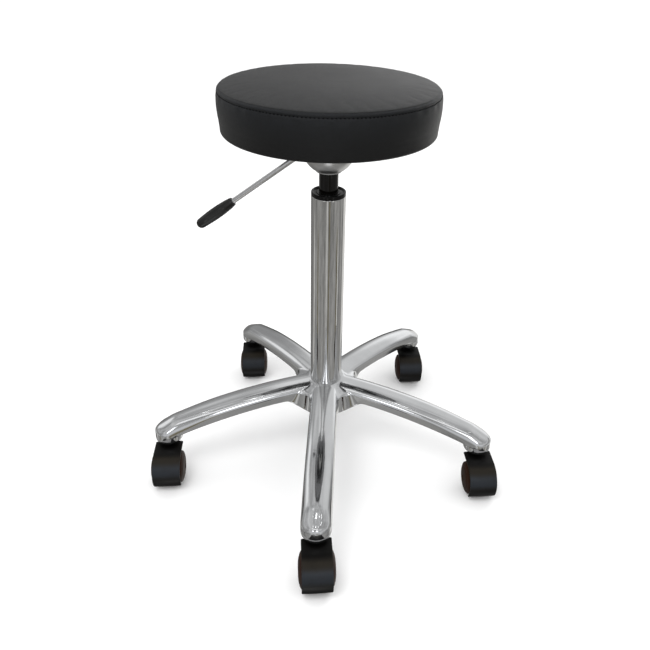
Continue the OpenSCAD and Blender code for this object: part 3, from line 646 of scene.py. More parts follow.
def star_shape(size):
    """Half of one arm as a grid, mirrored and turned five times, and the bosses' sockets.

    A row runs from the hub to the nose at one distance d from the arm's middle line: round a fillet of radius rho on
    the plane half-way to the next arm, straight along the arm, and a quarter turn round the caster's stem. Rows go
    from the crown over the rounded edge, down the side, where rho grows so that the webs flare out between the arms,
    and back to the middle below, where the pockets are sunk. Heights follow z = arch_z + sqrt((arch_r + h)^2 - x^2),
    and towards the nose the top rolls off below that arch like a ball.
    """
    reach, fall, mid, half, up, low, bore, boss = (
        getattr(size, n) for n in ("reach", "fall", "middle", "half_width", "above", "below", "bore", "boss_low")
    )
    arch_r = (reach**2 + fall**2) / (2 * fall)
    arch_z = mid - arch_r
    tilt = math.asin(reach / arch_r)
    power = 2 / 2.08  # of the superellipse that rounds the top
    inner = bore * math.sin(BETWEEN)  # rows nearer to the middle line than this start at the bore
    webs_end = 74.6
    fillet, flare, draft, rim = 20, 8, 1, 2
    round_low, round_nose = 12.8, 19  # depth of the top's rounding along the arm, and at the nose
    foot_bore = 24.82  # the bore narrows a little towards its foot
    pocket_half, pocket_top = 16, 10.3
    wall, lip = 21.4, 8.0  # radius of a boss, and of its lower edge
    swell_from, roll_from, roll_run, roll_depth = 178, 247, 33, 29

    # Rows: distance, fillet, and what they belong to
    top_a = np.sort(np.append(np.linspace(0, np.pi / 2, 23), math.asin((inner / half) ** (1 / power))))
    top_d = half * np.sin(top_a) ** power
    side_s = np.linspace(0, 1, 15)[1:]
    rim_a = np.radians([30, 60, 90])
    rim_in = rim * (1 - np.cos(rim_a))
    by_bore = np.flatnonzero(top_d <= inner + TINY)
    ledge_d, ledge_rho = [18.1, 17.5, 17.0, 16.6, 16.3, 16.1, 15.95], [26, 20, 14, 9, 5, 3, 2]
    under_d = np.concatenate([ledge_d, top_d[by_bore][::-1]])
    count = [len(top_d), len(side_s), len(rim_a), len(under_d)]
    ends = np.cumsum(count)
    part = np.repeat(["top", "side", "rim", "under"], count)[:, None]
    on_top, on_side, on_rim, below = (part == name for name in ("top", "side", "rim", "under"))
    d = np.concatenate([top_d, half - draft * side_s, half - draft - rim_in, under_d])[:, None]
    rho_top = fillet * np.clip((top_d - inner) / (half - inner), 0, 1)
    rho_side = fillet + flare * side_s
    rho = np.concatenate([rho_top, rho_side, fillet + flare + rim_in, ledge_rho, 0 * by_bore])[:, None]

    # Columns: some from the hub, doubled ones thin mm to each side of the pockets' walls, and those of the nose
    hub_columns, pockets, pocket, pitch, thin = 30, 5, 29.08, 32.08, 0.15
    first = webs_end + pitch * np.arange(pockets)
    walls = first[:, None] + [-thin, thin, 8, 14.5, 21, pocket - thin, pocket + thin]
    before_nose = [237, 242, 247, 252, 255.5, reach - 0.6]
    walls = np.sort(np.append(walls, before_nose))
    sunk = ((walls[:, None] > first) & (walls[:, None] < first + pocket)).any(1)
    sunk = np.append(np.zeros(hub_columns, bool), sunk)[None]
    share = np.linspace(0, 1, hub_columns, endpoint=False)[None]
    at_bore = d <= inner + TINY
    arc = np.where(at_bore, 0, rho * 1.5 * BETWEEN)
    tangent = np.where(at_bore, np.sqrt(np.maximum(bore**2 - d**2, 0)), (d + rho) / math.tan(BETWEEN))
    along = share * (arc + webs_end - thin - tangent)
    angle = 6 * BETWEEN + along / np.maximum(rho, TINY)
    centre = (d + rho) / math.sin(BETWEEN)
    on_arc = along < arc
    hub_x = np.where(on_arc, centre * math.cos(BETWEEN) + rho * np.cos(angle), tangent + along - arc)
    hub_y = np.where(on_arc, centre * math.sin(BETWEEN) + rho * np.sin(angle), d + 0 * along)
    x = np.concatenate([hub_x, walls + 0 * d], 1)
    y = np.concatenate([hub_y, d + 0 * walls], 1)

    # Each row's place in its part: the angle over the top, the share down the side, the angle round the rim
    over, down, round_rim = np.full_like(d, np.pi / 2), np.ones_like(d), np.zeros_like(d)
    over[: ends[0], 0], down[: ends[0], 0] = top_a, 0
    down[ends[0] : ends[1], 0] = side_s
    round_rim[ends[1] : ends[2], 0] = rim_a

    def section(a, depth):
        """The rounded top: distance half sin(a)^power, height up - depth + depth cos(a)^power."""
        return half * np.sin(a) ** power, up - depth + depth * np.maximum(np.cos(a), 0) ** power

    def arch(px, height):
        return arch_z + np.sqrt((arch_r + height) ** 2 - px**2)

    def foot(px, py):
        """The lower edge: the webs' flare, z = hub_low + 26 ((r - 35) / 35.13)^1.15, up to the arm's own underside."""
        hub_low, hub_r, rise, run = mid - low - 30, 35.0, 26, 35.13
        web = hub_low + rise * np.clip((np.hypot(px, py) - hub_r) / run, 0, None) ** 1.15
        return larger(arch(px, -low), web, 9, -1) + 0.4

    def roll(px):
        """How far the top sinks below the arch over the nose: depth u^2 (1 - u), most at the crown."""
        u = np.clip((px - roll_from) / roll_run, 0, 1)
        return roll_depth * u**2 * (1 - u) * np.maximum(np.cos(over), 0)

    # Heights of the straight part
    rounding = round_low + (round_nose - round_low) * smooth((x - swell_from) / (reach - swell_from))
    h = np.where(on_top, section(over, rounding)[1], up - rounding + (rim - low - up + rounding) * down)
    x = x * (1 + h / arch_r * smooth((x - webs_end) / (reach - webs_end)))
    outside = (on_side | on_rim) & (y > half - 3.1)
    y = y + outside * down * smooth((x - 232) / 20)  # the side's foot runs out into the boss
    collar = mid + up - 1.1 - 9 * np.clip((np.hypot(x, y) - 28) / 7, 0, 6) ** 2  # the hub's rim round the tube
    z = arch(x, h) - roll(x)
    z = np.where(on_top, larger(z, collar, 1.5), z)
    top, last = ends[0] - 1, ends[1] - 1
    z_top, z_last = z[top], np.minimum(foot(x[last], y[last]) + rim, z[top] - 0.5)
    z = np.where(on_side, z_top + (z_last - z_top) * down, z)
    z = np.where(on_rim, z_last - rim * np.sin(round_rim), z)
    z = np.where(below, foot(x, y), z)
    ceiling = np.minimum(pocket_top, 2 + np.maximum(pocket_half - d, 0))
    z = np.where(below & sunk & (d < pocket_half), arch(x, ceiling), z)
    low_bore = below[:, 0] & at_bore[:, 0]
    x[low_bore, 0] *= foot_bore / bore
    y[low_bore, 0] *= foot_bore / bore

    # Nose: a quarter turn about the stem, tilted with the arm above and upright below
    turn = np.linspace(np.pi / 2, 0, 18)[None, :]
    slope = np.tan(np.pi / 2 - np.maximum(tilt * np.cos(turn), 1e-9))
    end_a = np.arctan((slope * half / round_nose) ** (1 / (2 - power)))
    r, nose_h = section(over * end_a / (np.pi / 2), round_nose)
    lx, ny, lz = r * np.cos(turn), r * np.sin(turn), arch_r + nose_h
    nx = lx * math.cos(tilt) + lz * math.sin(tilt)
    nz = -lx * math.sin(tilt) + lz * math.cos(tilt) + arch_z - roll(nx)
    px, py, drop = reach + wall * np.cos(turn), wall * np.sin(turn), smooth(down)
    nx, ny, nz = nx + (px - nx) * drop, ny + (py - ny) * drop, nz + (boss + lip - nz) * down
    for rows, radius, height in (
        (on_rim, wall - lip * (1 - np.cos(round_rim)), boss + lip * (1 - np.sin(round_rim))),
        (below, (wall - lip) * d / under_d[0], boss + 0.3 + 0 * d),
    ):
        nx = np.where(rows, reach + radius * np.cos(turn), nx)
        ny = np.where(rows, radius * np.sin(turn), ny)
        nz = np.where(rows, height + 0 * turn, nz)
    x, y, z = (np.concatenate(pair, 1) for pair in ((x, nx), (y, ny), (z, nz)))

    # How raw the casting is left: the underside, and the bosses' walls below the nose
    raw = np.where(below, 1.0, 0 * x)
    raw[:, -turn.size :] = np.maximum(raw[:, -turn.size :], 0.95 * smooth(down / 0.8) * ~on_top)

    # Ten halves and the wall of the bore, then the five sockets
    sector = np.stack([x, y, z], -1).reshape(-1, 3)
    upper, lower = by_bore, ends[2] + len(ledge_d) + by_bore[::-1]
    bore_wall = np.stack([upper[:-1], upper[1:], lower[1:], lower[:-1]], 1) * x.shape[1]
    quads = np.concatenate([grid_quads(*x.shape), bore_wall])
    points, quads = joined((sector, quads), (sector * [1, -1, 1], quads[:, ::-1]))
    arms = [(placed(points, arm_angle(k)), quads) for k in range(ARMS)]
    stem, deep = 5.7, boss + 19
    outline = [(stem, deep), (wall - 0.1, deep), (wall - 0.1, boss), (stem, boss)]
    points, quads = turned(softened(outline, [0.1, 0.1, lip * 1.25, 0.8], 9), 96)
    bosses = [(placed(points + [reach, 0, 0], arm_angle(k)), quads) for k in range(ARMS)]
    everything = joined(*arms, *bosses)
    marks = np.zeros(len(everything[0]))
    marks[: 2 * ARMS * raw.size] = np.tile(raw.ravel(), 2 * ARMS)
    return everything, marks


class StarBase(bpy.types.Operator):
    """Makes the polished star base with its webs, noses and ribbed underside"""

    bl_idname = "stool.star_base"
    bl_label = "Star base"

    def execute(self, context):
        (points, quads), raw = star_shape(Millimetres(context.scene.stool_base))
        piece = mesh_piece("star_casting", points, quads, 38, {"raw": raw})
        dress(piece, "polished_aluminium", "cast_aluminium", "star_base")
        return {"FINISHED"}


# Column


class Column(bpy.types.Operator):
    """Turns the chromed tube, the guide bush and the gas spring's cylinder"""

    bl_idname = "stool.column"
    bl_label = "Column and gas spring"

    def execute(self, context):
        """Three outlines of (radius, height) with rounded corners, turned round the axis."""
        size = Millimetres(context.scene.stool_column)
        n = context.scene.stool_column.segments
        r, top, c = size.tube, size.tube_top, size.cylinder
        foot, taper_end = 78, 132  # the tube's foot, and where its taper in the hub ends
        tube = [
            (r - 2.7, foot), (r - 0.7, foot), (r - 0.03, taper_end - 2), (r, taper_end), (r, taper_end + 2),
            (r, top - 2), (r, top), (r - 2, top), (r - 2, taper_end),
        ]
        bush = [
            (c + 0.1, top - 90), (r - 2.1, top - 90), (r - 2.1, top + 0.02), (r - 0.1, top + 0.02),
            (r, top + 1), (r, top + 6), (r - 3, top + 6), (r - 3.6, top + 4), (c + 4.2, top + 4),
            (c + 3.8, top + 5.1), (c + 0.1, top + 5.1),
        ]
        low, high, hole = 203.0, 520.0, 4.1
        spring = [
            (c - 2, low), (c - 0.9, low), (c, low + 2), (c, low + 5), (c, high - 29), (c, high - 26), (c - 0.9, high),
            (hole, high), (hole, high - 10), (c - 2, high - 10),
        ]

        def turn(name, corners, rounding, segments, *look):
            dress(mesh_piece(name, *turned(softened(corners, rounding), segments), 30), *look)

        turn(
            "chromed_column", tube, [0.3, 0.4, 0.2, 0.2, 0.2, 0.2, 0.7, 0.5, 0.2], n,
            "chrome_tube", "chrome_tube", "column_tube",
        )
        turn(
            "guide_collar", bush, [0.2, 0.5, 0.2, 0.2, 0.4, 1.1, 0.8, 0.7, 0.4, 0.5, 0.4], n,
            "bush_plastic", "black_plastic", "guide_bush",
        )
        turn(
            "gas_spring_body", spring, [0.2, 0.4, 0.8, 0.3, 0.3, 1, 0.8, 0.3, 0.3, 0.3], 96,
            "black_enamel", "gloss_black_cylinder", "gas_cylinder",
        )
        return {"FINISHED"}


class Bell(bpy.types.Operator):
    """Makes the spun bell under the seat, with its slot for the lever"""

    bl_idname = "stool.bell"
    bl_label = "Bell"

    def execute(self, context):
        """Lower half: r = R cos b, z = equator - R sin b; above it a straight skirt.

        The slot's cells are left out, and Solidify gives the wall.
        """
        radius = Millimetres(context.scene.stool_column).bell
        mouth, low, high, wall = 17.0, 488.0, 546.0, 1.6
        slot_low, slot_high, slot_half = 504.3, 526.7, math.radians(8)
        equator = low + math.sqrt(radius**2 - mouth**2)
        b = math.acos(mouth / radius)
        z = np.concatenate([equator - radius * np.sin(np.linspace(b, 0, 26)), np.linspace(equator, high, 9)[1:]])
        z = np.sort(np.append(z, [slot_low, slot_high]))
        r = np.sqrt(radius**2 - np.maximum(equator - z, 0) ** 2)
        r, z = np.append([mouth + 1.0, mouth + 0.3], r), np.append([low + 1.5, low + 0.6], z)
        closed = np.linspace(np.pi + slot_half, 3 * np.pi - slot_half, 120)
        a = np.append(closed, np.linspace(-slot_half, slot_half, 7)[1:-1] + np.pi)
        points = polar(r[:, None], a, np.maximum(z, low)[:, None])
        quads = grid_quads(len(r), len(a), False, True)
        row, column = np.divmod(quads[:, 0], len(a))
        in_slot = (z[row] > slot_low - 0.01) & (z[row] < slot_high - 0.01) & (column >= len(closed) - 1)
        piece = mesh_piece("bell_shell", points, quads[~in_slot], 40)
        shell = piece.modifiers.new("wall", "SOLIDIFY")
        shell.thickness, shell.offset, shell.use_even_offset = wall * MM, -1, True
        dress(piece, "satin_bell", "satin_bell", "bell")
        return {"FINISHED"}


# Lever


class Lever(bpy.types.Operator):
    """Bends the lever's rod and makes its fluted grip"""

    bl_idname = "stool.lever"
    bl_label = "Lever"

    def execute(self, context):
        size = Millimetres(context.scene.stool_lever)
        fall = context.scene.stool_lever.fall
        pivot = np.array([-22, 0, 524.73])  # on the rod's falling line; lengths along it start here
        down = np.array([-math.cos(fall), 0, -math.sin(fall)])
        start = (size.reach + pivot[0]) / math.cos(fall) - size.grip_length
        in_grip = 27.5
        rod = self.rod(size, fall, pivot + down * (start + in_grip))
        dress(mesh_piece("lever_bar", *rod, 50), "chrome_rod", "chrome_rod", "lever_rod")
        grip = self.grip(size, context.scene.stool_lever.flutes, pivot, down, start)
        dress(mesh_piece("lever_handle", *grip, 50), "grip_plastic", "grip_plastic", "lever_grip")
        return {"FINISHED"}

    def rod(self, size, fall, end):
        """A circle carried along a level line, an arc and a straight line that falls to the grip."""
        level, corner, bend = 533.02, -11, 12.0
        knee = corner + bend * math.tan(fall / 2)
        a = np.linspace(np.pi / 2, np.pi / 2 + fall, 16)
        arc = np.stack([knee + bend * np.cos(a), 0 * a, level - bend + bend * np.sin(a)], 1)
        head = np.stack([np.linspace(0.6, knee, 6), np.zeros(6), np.full(6, level)], 1)[:-1]
        tail = arc[-1] + (end - arc[-1]) * np.linspace(0, 1, 60)[1:, None]
        c = np.linspace(0, TURN, 40, endpoint=False)
        ring = size.rod * np.stack([np.cos(c), np.sin(c)], 1)
        return carried(np.concatenate([head, arc, tail]), np.array([0, 1.0, 0]), ring, 0.6)

    def grip(self, size, flutes, pivot, down, start):
        """r(t, a): a profile that swells as neck + (top - neck) sin(150 t^0.8) with a round tip, less round flutes.

        A flute is the side of a circle of radius q whose middle lies far from the axis: far cos a - sqrt(q^2 -
        (far sin a)^2); the flutes fade out towards the neck.
        """
        neck, top, bore, deep = size.rod + 2.4, size.grip, size.rod + 0.02, 27.8
        tip = neck + (top - neck) * 0.5
        t = np.linspace(0, 1, 52)
        swell = neck + (top - neck) * np.sin(np.radians(150) * t**0.8)
        cap = np.radians(np.linspace(0, 90, 14)[1:])
        profile = np.concatenate([
            [[0, deep], [bore, deep], [bore, 0.5], [size.rod + 0.5, 0], [neck - 0.7, 0], [neck - 0.2, 0.2]],
            np.stack([swell, 0.6 + (size.grip_length - tip - 0.6) * t], 1),
            np.stack([tip * np.cos(cap), size.grip_length - tip + tip * np.sin(cap)], 1),
        ])
        around = np.linspace(0, TURN, 200, endpoint=False)
        off = (np.mod(around * flutes / TURN + 0.5, 1) - 0.5) * TURN / flutes
        q, far, clear = top / 4, top * 1.125, 40.0
        inside = q * q - (far * np.sin(off)) ** 2
        cut = np.where(inside > 0, far * np.cos(off) - np.sqrt(np.maximum(inside, 0)), clear)
        r0, along = profile[:, :1], profile[:, 1:]
        limit = cut[None] + 2 * (1 - smooth((along - 7) / 9))
        r = np.where(r0 > neck - 0.1, larger(r0, limit, 0.06, -1), r0)[..., None]
        across, side = np.array([0, 1.0, 0]), np.cross(down, [0, 1.0, 0])
        ring = np.cos(around)[:, None] * across + np.sin(around)[:, None] * side
        points = pivot + down * (start + along[..., None]) + r * ring
        return points.reshape(-1, 3), grid_quads(len(profile), len(around), False, True)


# Casters


def wheel_shape(size, side):
    """A wheel turned about its axle: dished inner face, tread with a slight crown, domed outer face.

    The dome is x = 20.8 + dome (1 - (r / R)^3.2)^0.8, less a ring groove and a sunk middle.
    """
    r, bore, inner, face = size.wheel, 4.1, 3.8, 20.8
    edge, hub = r - 0.9, 24.6
    dome_r = edge * np.cos(np.linspace(0, np.pi / 2, 44))
    dome_x = face + size.dome * (1 - (dome_r / edge) ** 3.2) ** 0.8
    dome_x = dome_x - 0.55 * bump(dome_r, 18.2, 0.55) - 0.8 * (1 - smooth((dome_r - 3.6) / 0.8))
    tread = np.linspace(-1, 1, 9)
    worn = 1.1 * np.clip(abs(tread) * 7.6 - 6.4, 0, 1.2) ** 2
    dish = [(bore, hub), (bore, inner), (7, inner), (9, 7.8), (17, 7.8), (21, inner), (r - 1.5, inner)]
    profile = np.concatenate([
        softened(dish, 0.8, 4, False),
        np.stack([r - 0.25 * tread**2 - worn, 12.3 + 8 * tread], 1),
        [[r - 0.95, 20.6]],
        np.stack([dome_r, dome_x], 1),
        [[0, dome_x[-1]], [0, hub]],
    ])
    points, quads = turned(profile, 112)
    return np.stack([side * points[:, 2], points[:, 0] - size.trail, points[:, 1] + size.wheel], 1), quads


def hood_shape(size):
    """A band carried round the wheels' back and over their tops, a web between the wheels, and the stem's housing."""
    trail, axle, big, half, thick = size.trail, size.wheel, size.hood, size.hood_width / 2, 2.8
    lip, front, stem_top = 4, -6.5, 33.5  # the band's lower end, its end over the wheels, the housing's foot

    def round_axle(radius, a):
        return np.stack([-trail - radius * np.cos(a), axle + radius * np.sin(a)], 1)

    def level(start, end, count, height):
        return np.stack([np.linspace(start, end, count)[1:], np.full(count - 1, height)], 1)

    low = math.asin((lip - axle) / big)
    a = low + (np.pi / 2 - low) * np.linspace(0, 1, 52) ** 1.35
    middle = big - thick / 2
    line = np.concatenate([round_axle(middle, a), level(-trail, front, 12, axle + middle)])
    run = np.append(0, np.cumsum(np.linalg.norm(np.diff(line, axis=0), axis=1)))
    width = half - 5 * (1 - np.sqrt(1 - np.clip(1 - run / 5.5, 0, 1) ** 2))  # the lip's corners are round
    edge = softened(
        [(-half, -thick / 2), (half, -thick / 2), (half, thick / 2), (-half, thick / 2)], [0.6, 0.6, 1.25, 1.25], 6
    )
    rows = np.linspace(-1, 1, 13)[1:-1]
    crown = np.stack([-rows * (half - 1.3), thick / 2 + 0.5 * (1 - rows**2)], 1)
    edge = np.concatenate([edge[:18], crown, edge[18:]])
    section = np.stack([edge[:, 0] * (width / half)[:, None], edge[:, 1] + 0 * run[:, None]], -1)
    path = np.concatenate([np.zeros((len(line), 1)), line], 1)
    band = carried(path, np.array([1.0, 0, 0]), section, 0.9)

    # Web: a sheet between the band's inside and a bent inner edge, wide at both edges
    outer = np.concatenate([
        round_axle(big - 2, np.linspace(low + 0.06, np.pi / 2, 30)),
        level(-trail, 8, 14, axle + big - 2),
    ])
    bend = softened([(-34, 4.6), (-30, 17), (-23, 18), (-21, stem_top), (8, stem_top)], 3.5, 9, False)
    inner = bend[np.linspace(0, len(bend) - 1, len(outer)).astype(int)]
    wide, slim = 3.5, 3.0
    depth = np.array([0.0, 0.0, 0.02, 0.98, 1.0, 1.0, 0.98, 0.02])[None, :, None]
    aside = np.array([-wide, wide, wide, wide, slim, -slim, -wide, -wide])[None, :, None]
    flat = outer[:, None] * (1 - depth) + inner[:, None] * depth
    sheet = np.concatenate([np.broadcast_to(aside, flat.shape[:2] + (1,)), flat], 2)
    first, final = (np.broadcast_to(sheet[i].mean(0), (1,) + sheet[i].shape) for i in (0, -1))
    sheet = np.concatenate([first, sheet, final])
    web = (sheet.reshape(-1, 3), grid_quads(sheet.shape[0], sheet.shape[1], False, True))

    top, stem, neck, reach = axle + big - 0.3, 5.7, 11.1, 21.2
    end = top - 17.7  # of the stem's hole
    housing = [(0, stem_top), (neck, stem_top), (neck, top), (stem, top), (stem, end), (0, end)]
    housing = turned(softened(housing, [0, 2, 1.4, 0.6, 0.3, 0], 6, False), 72)
    disc, widen, deep = 6.6, 1.5, 3.7  # the boss round the axle, widened and cut off between the wheels
    boss = softened([(0, -reach), (disc, -reach), (disc, reach), (0, reach)], [0, 0.6, 0.6, 0], 4, False)
    boss, quads = turned(boss, 48)
    boss = np.stack([np.clip(boss[:, 2], -deep, deep), boss[:, 0] * widen - trail, boss[:, 1] * widen + axle], 1)
    return joined(band, web, housing, (boss, quads))


class Casters(bpy.types.Operator):
    """Makes the five hoods and the ten wheels"""

    bl_idname = "stool.casters"
    bl_label = "Casters"

    def execute(self, context):
        size = Millimetres(context.scene.stool_casters)
        heading = context.scene.stool_casters.heading
        reach = Millimetres(context.scene.stool_base).reach
        shapes = {
            "hood": (hood_shape(size), "hood_nylon"),
            "wheel_left": (wheel_shape(size, -1), "wheel_nylon"),
            "wheel_right": (wheel_shape(size, 1), "wheel_nylon"),
        }
        for k in range(ARMS):
            arm = arm_angle(k)
            spot = (reach * math.cos(arm), reach * math.sin(arm), 0)
            for part, ((points, quads), finish) in shapes.items():
                node = f"{part}_{k + 1}"
                piece = mesh_piece("caster_" + node, placed(points, heading, spot), quads, 36)
                dress(piece, finish, finish, node)
        return {"FINISHED"}


# Seat


CROWN_ROWS, BAND_ROWS = 17, 12  # of the coarse grid that is simulated


def band_line(size, t):
    """Side band, t from 0 at the bottom edge to 1 at the seam: r = R - 0.5 (1 - t) + bulge sin(180 t^1.5)."""
    low = size.board_height - 1.4 + size.edge
    high = size.board_height + size.seat_height
    r = size.seam_radius - 0.5 * (1 - t) + size.bulge * np.sin(np.pi * t**1.5)
    return np.stack([r, low + (high - low) * t], 1)


def crown_line(size, t):
    """Top panel, t from 1 at the seam to 0 in the middle: z = seam + crown (1 - t^2.6) + 1.3 (1 - exp(-s / 4)).

    s is the distance from the seam; the 1.3 mm are taken off the crown.
    """
    seam, shoulder = size.board_height + size.seat_height, 1.3
    from_seam = size.seam_radius * (1 - t)
    rise = (size.crown - shoulder) * (1 - t**2.6) + shoulder * (1 - np.exp(-from_seam / 4))
    return np.stack([size.seam_radius * t, seam + rise], 1)


def puckers(size, keep):
    """Simulates the cover as cloth under the foam's pressure, held along its seam and its bottom edge.

    Gives how far each point of a coarse grid moves, in millimetres. Rows 0 to 17 are the top panel from the middle to
    the seam, rows 17 to 29 the band down to its bottom edge.
    """
    turns, frames, furthest, steps = 132, 20, 5.0, 20
    seam = size.board_height + size.seat_height
    crown = crown_line(size, np.linspace(0, 1, CROWN_ROWS + 1))
    band = band_line(size, np.linspace(1, 0, BAND_ROWS + 1))[1:]
    line = np.concatenate([crown, band, [[110, size.board_height], [0, size.board_height]]])
    line[0, 0] = line[-1, 0] = 0
    rest, quads = turned(line, turns, close=False)
    piece = mesh_piece("cushion_cloth", rest, quads, 180)
    mesh = piece.data
    flat = np.zeros(len(mesh.vertices) * 3, np.float32)
    mesh.vertices.foreach_get("co", flat)
    start = flat.reshape(-1, 3) / MM
    radius, height = np.hypot(start[:, 0], start[:, 1]), start[:, 2]
    held = (abs(height - seam) < 0.4) & (radius > size.seam_radius - 3) | (height < band[-1, 1] + 0.5)
    piece.vertex_groups.new(name="pins").add([int(i) for i in np.flatnonzero(held)], 1.0, "REPLACE")
    cloth = piece.modifiers.new("cloth", "CLOTH")
    for name, setting in {
        "quality": 6,
        "mass": 0.4,
        "tension_stiffness": 18,
        "compression_stiffness": 12,
        "shear_stiffness": 6,
        "bending_stiffness": 0.6,
        "shrink_min": -0.006,
        "use_pressure": True,
        "uniform_pressure_force": 4.0,
        "vertex_group_mass": "pins",
    }.items():
        setattr(cloth.settings, name, setting)
    cloth.settings.effector_weights.gravity = 0
    cloth.collision_settings.use_collision = False
    cloth.point_cache.frame_start, cloth.point_cache.frame_end = 1, frames
    scene = bpy.context.scene
    for frame_number in range(1, frames + 1):
        scene.frame_set(frame_number)
    shaped = piece.evaluated_get(bpy.context.evaluated_depsgraph_get())
    shaped.data.vertices.foreach_get("co", flat)
    moved = flat.reshape(-1, 3) / MM - start
    scene.frame_set(1)
    far = np.linalg.norm(moved, axis=1, keepdims=True)
    moved *= np.minimum(1, furthest / np.maximum(far, TINY)) * keep
    bpy.data.objects.remove(piece)
    bpy.data.meshes.remove(mesh)

    # The mesh has merged and sorted its points, so each point of the grid looks up its own by place
    places = np.concatenate([np.round(found * steps).astype(np.int64) for found in (start, rest)])
    both, back = np.unique(places, axis=0, return_inverse=True)
    back = back.reshape(-1)
    table = np.zeros((len(both), 3))
    table[back[: len(start)]] = moved
    return table[back[len(start) :]].reshape(len(line), turns, 3)[: CROWN_ROWS + BAND_ROWS + 1]


def resample(grid, rows, turns):
    """Values of a coarse grid at finer rows and angles: straight lines between rows, smooth steps round the ring."""
    at = np.clip(rows, 0, len(grid) - 1.001)
    low = at.astype(int)
    part = (at - low)[:, None, None]
    lines = grid[low] * (1 - part) + grid[low + 1] * part
    count = lines.shape[1]
    spot = np.arange(turns) * count / turns
    left = spot.astype(int)
    f = smooth(spot - left)[None, :, None]
    return lines[:, left % count] * (1 - f) + lines[:, (left + 1) % count] * f


class Cushion(bpy.types.Operator):
    """Makes the padded seat: crowned top panel, seam, side band, and the vinyl turned in under the board"""

    bl_idname = "stool.cushion"
    bl_label = "Cushion"

    def execute(self, context):
        """A profile round the axis, plus the simulated movement, plus the seam's groove and a dimple at each stitch.

        The groove is -1.3 exp(-(s / 1.1)^2) at s from the seam, with a small roll below it. Near the seam fine ripples
        run round the ring, the sum of three sines of the angle.
        """
        group = context.scene.stool_seat
        size = Millimetres(group)
        turns, board = 440, size.board_height
        crown_t = np.concatenate([np.linspace(0, 0.93, 40), np.linspace(0.93, 1, 22)[1:]])
        band_t = np.concatenate([np.linspace(1, 0.80, 34)[1:], np.linspace(0.80, 0, 30)[1:]])
        crown, band = crown_line(size, crown_t), band_line(size, band_t)
        above = np.append(np.cumsum(np.linalg.norm(np.diff(crown[::-1], axis=0), axis=1))[::-1], 0)
        under = board + size.seat_height - band[:, 1]
        crown[:, 0] -= 1.3 * bump(above, 0, 1.1)
        band[:, 0] -= 1.3 * bump(under, 0, 0.9) - 0.75 * bump(under, 2.7, 1.5)
        arc = np.radians(np.linspace(90, 0, 10)[1:])
        low = board - 1.4
        edge = np.stack([band[-1, 0] - size.edge * (1 - np.sin(arc)), low + size.edge * (1 - np.cos(arc))], 1)
        turned_in = [
            [140, low - 0.1], [132, low], [125.4, low], [125.1, low + 0.2], [125.0, low + 1.3],
            [60, low + 1.6], [0, low + 1.6],
        ]
        line = np.concatenate([crown, band, edge, turned_in])
        rest = np.zeros(len(line) - len(crown) - len(band))
        rows = np.concatenate(
            [crown_t * CROWN_ROWS, CROWN_ROWS + (1 - band_t) * BAND_ROWS, rest + CROWN_ROWS + BAND_ROWS]
        )
        points, quads = turned(line, turns, close=False)
        points = points.reshape(len(line), turns, 3)
        angle = np.linspace(0, TURN, turns, endpoint=False)
        out = np.stack([np.cos(angle), np.sin(angle), 0 * angle], 1)[None]
        fade = [smooth((1 - crown_t) / 0.02), smooth((under - 2) / 8) * smooth(band_t / 0.3), rest]
        points += resample(puckers(size, group.puff), rows, turns) * np.concatenate(fade)[:, None, None]
        depth = np.concatenate([0.16 * bump(above, 3, 5), 0.30 * bump(under, size.stitch_drop + 3, 5), rest])
        ripple = (
            np.sin(31 * angle + 1.7 * np.sin(5 * angle))
            + 0.7 * np.sin(47 * angle + 2.1 * np.sin(3 * angle) + 1)
            + 0.5 * np.sin(11 * angle + 2)
        )
        points += (depth[:, None] * ripple)[..., None] * out
        count = round(TURN * size.seam_radius / size.stitch_pitch)
        dip = np.concatenate([0 * above, bump(under, size.stitch_drop, 0.9), rest])
        points -= (dip[:, None] * (0.5 + 0.2 * np.cos(count * angle)))[..., None] * out
        # Marks the top panel, which the vinyl finish paints lighter: painted light from above.
        top = np.repeat(np.arange(len(line)) < len(crown), turns)
        piece = mesh_piece("cushion_cover", points.reshape(-1, 3), quads, 60, {"top": top})
        dress(piece, "seat_vinyl", "vinyl", "cover_top", "cover_band", "seat_foam")
        self.stitch(points[len(crown) + int(np.argmin(abs(under - size.stitch_drop)))], count, size)
        return {"FINISHED"}

    def stitch(self, ring, count, size):
        """Each stitch is a flat ellipse carried along a short arch between two holes of the ring."""
        arches, sides = 7, 6
        mid = (np.arange(count) + 0.5) * TURN / count
        spots = np.linspace(0, TURN, len(ring), endpoint=False)
        radius = np.interp(mid, spots, np.hypot(ring[:, 0], ring[:, 1]), period=TURN)
        s = np.linspace(-1, 1, arches)
        c = np.linspace(0, TURN, sides, endpoint=False)
        thick = 0.5 * np.sqrt(np.maximum(1 - s**4, 0))
        lift = 0.45 * (1 - s**2) - 0.15
        around = mid[:, None, None] + (s * 0.31 * size.stitch_pitch)[None, :, None] / size.seam_radius
        r = radius[:, None, None] + lift[None, :, None] + thick[None, :, None] * np.cos(c)
        z = ring[0, 2] + 1.5 * thick[None, :, None] * np.sin(c)
        quads = grid_quads(arches, sides, False, True)
        quads = (quads[None] + arches * sides * np.arange(count)[:, None, None]).reshape(-1, 4)
        piece = mesh_piece("top_stitching", polar(r, around, z), quads, 60)
        dress(piece, "thread", "vinyl", body=frame["nodes"]["cover_band"]["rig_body"])


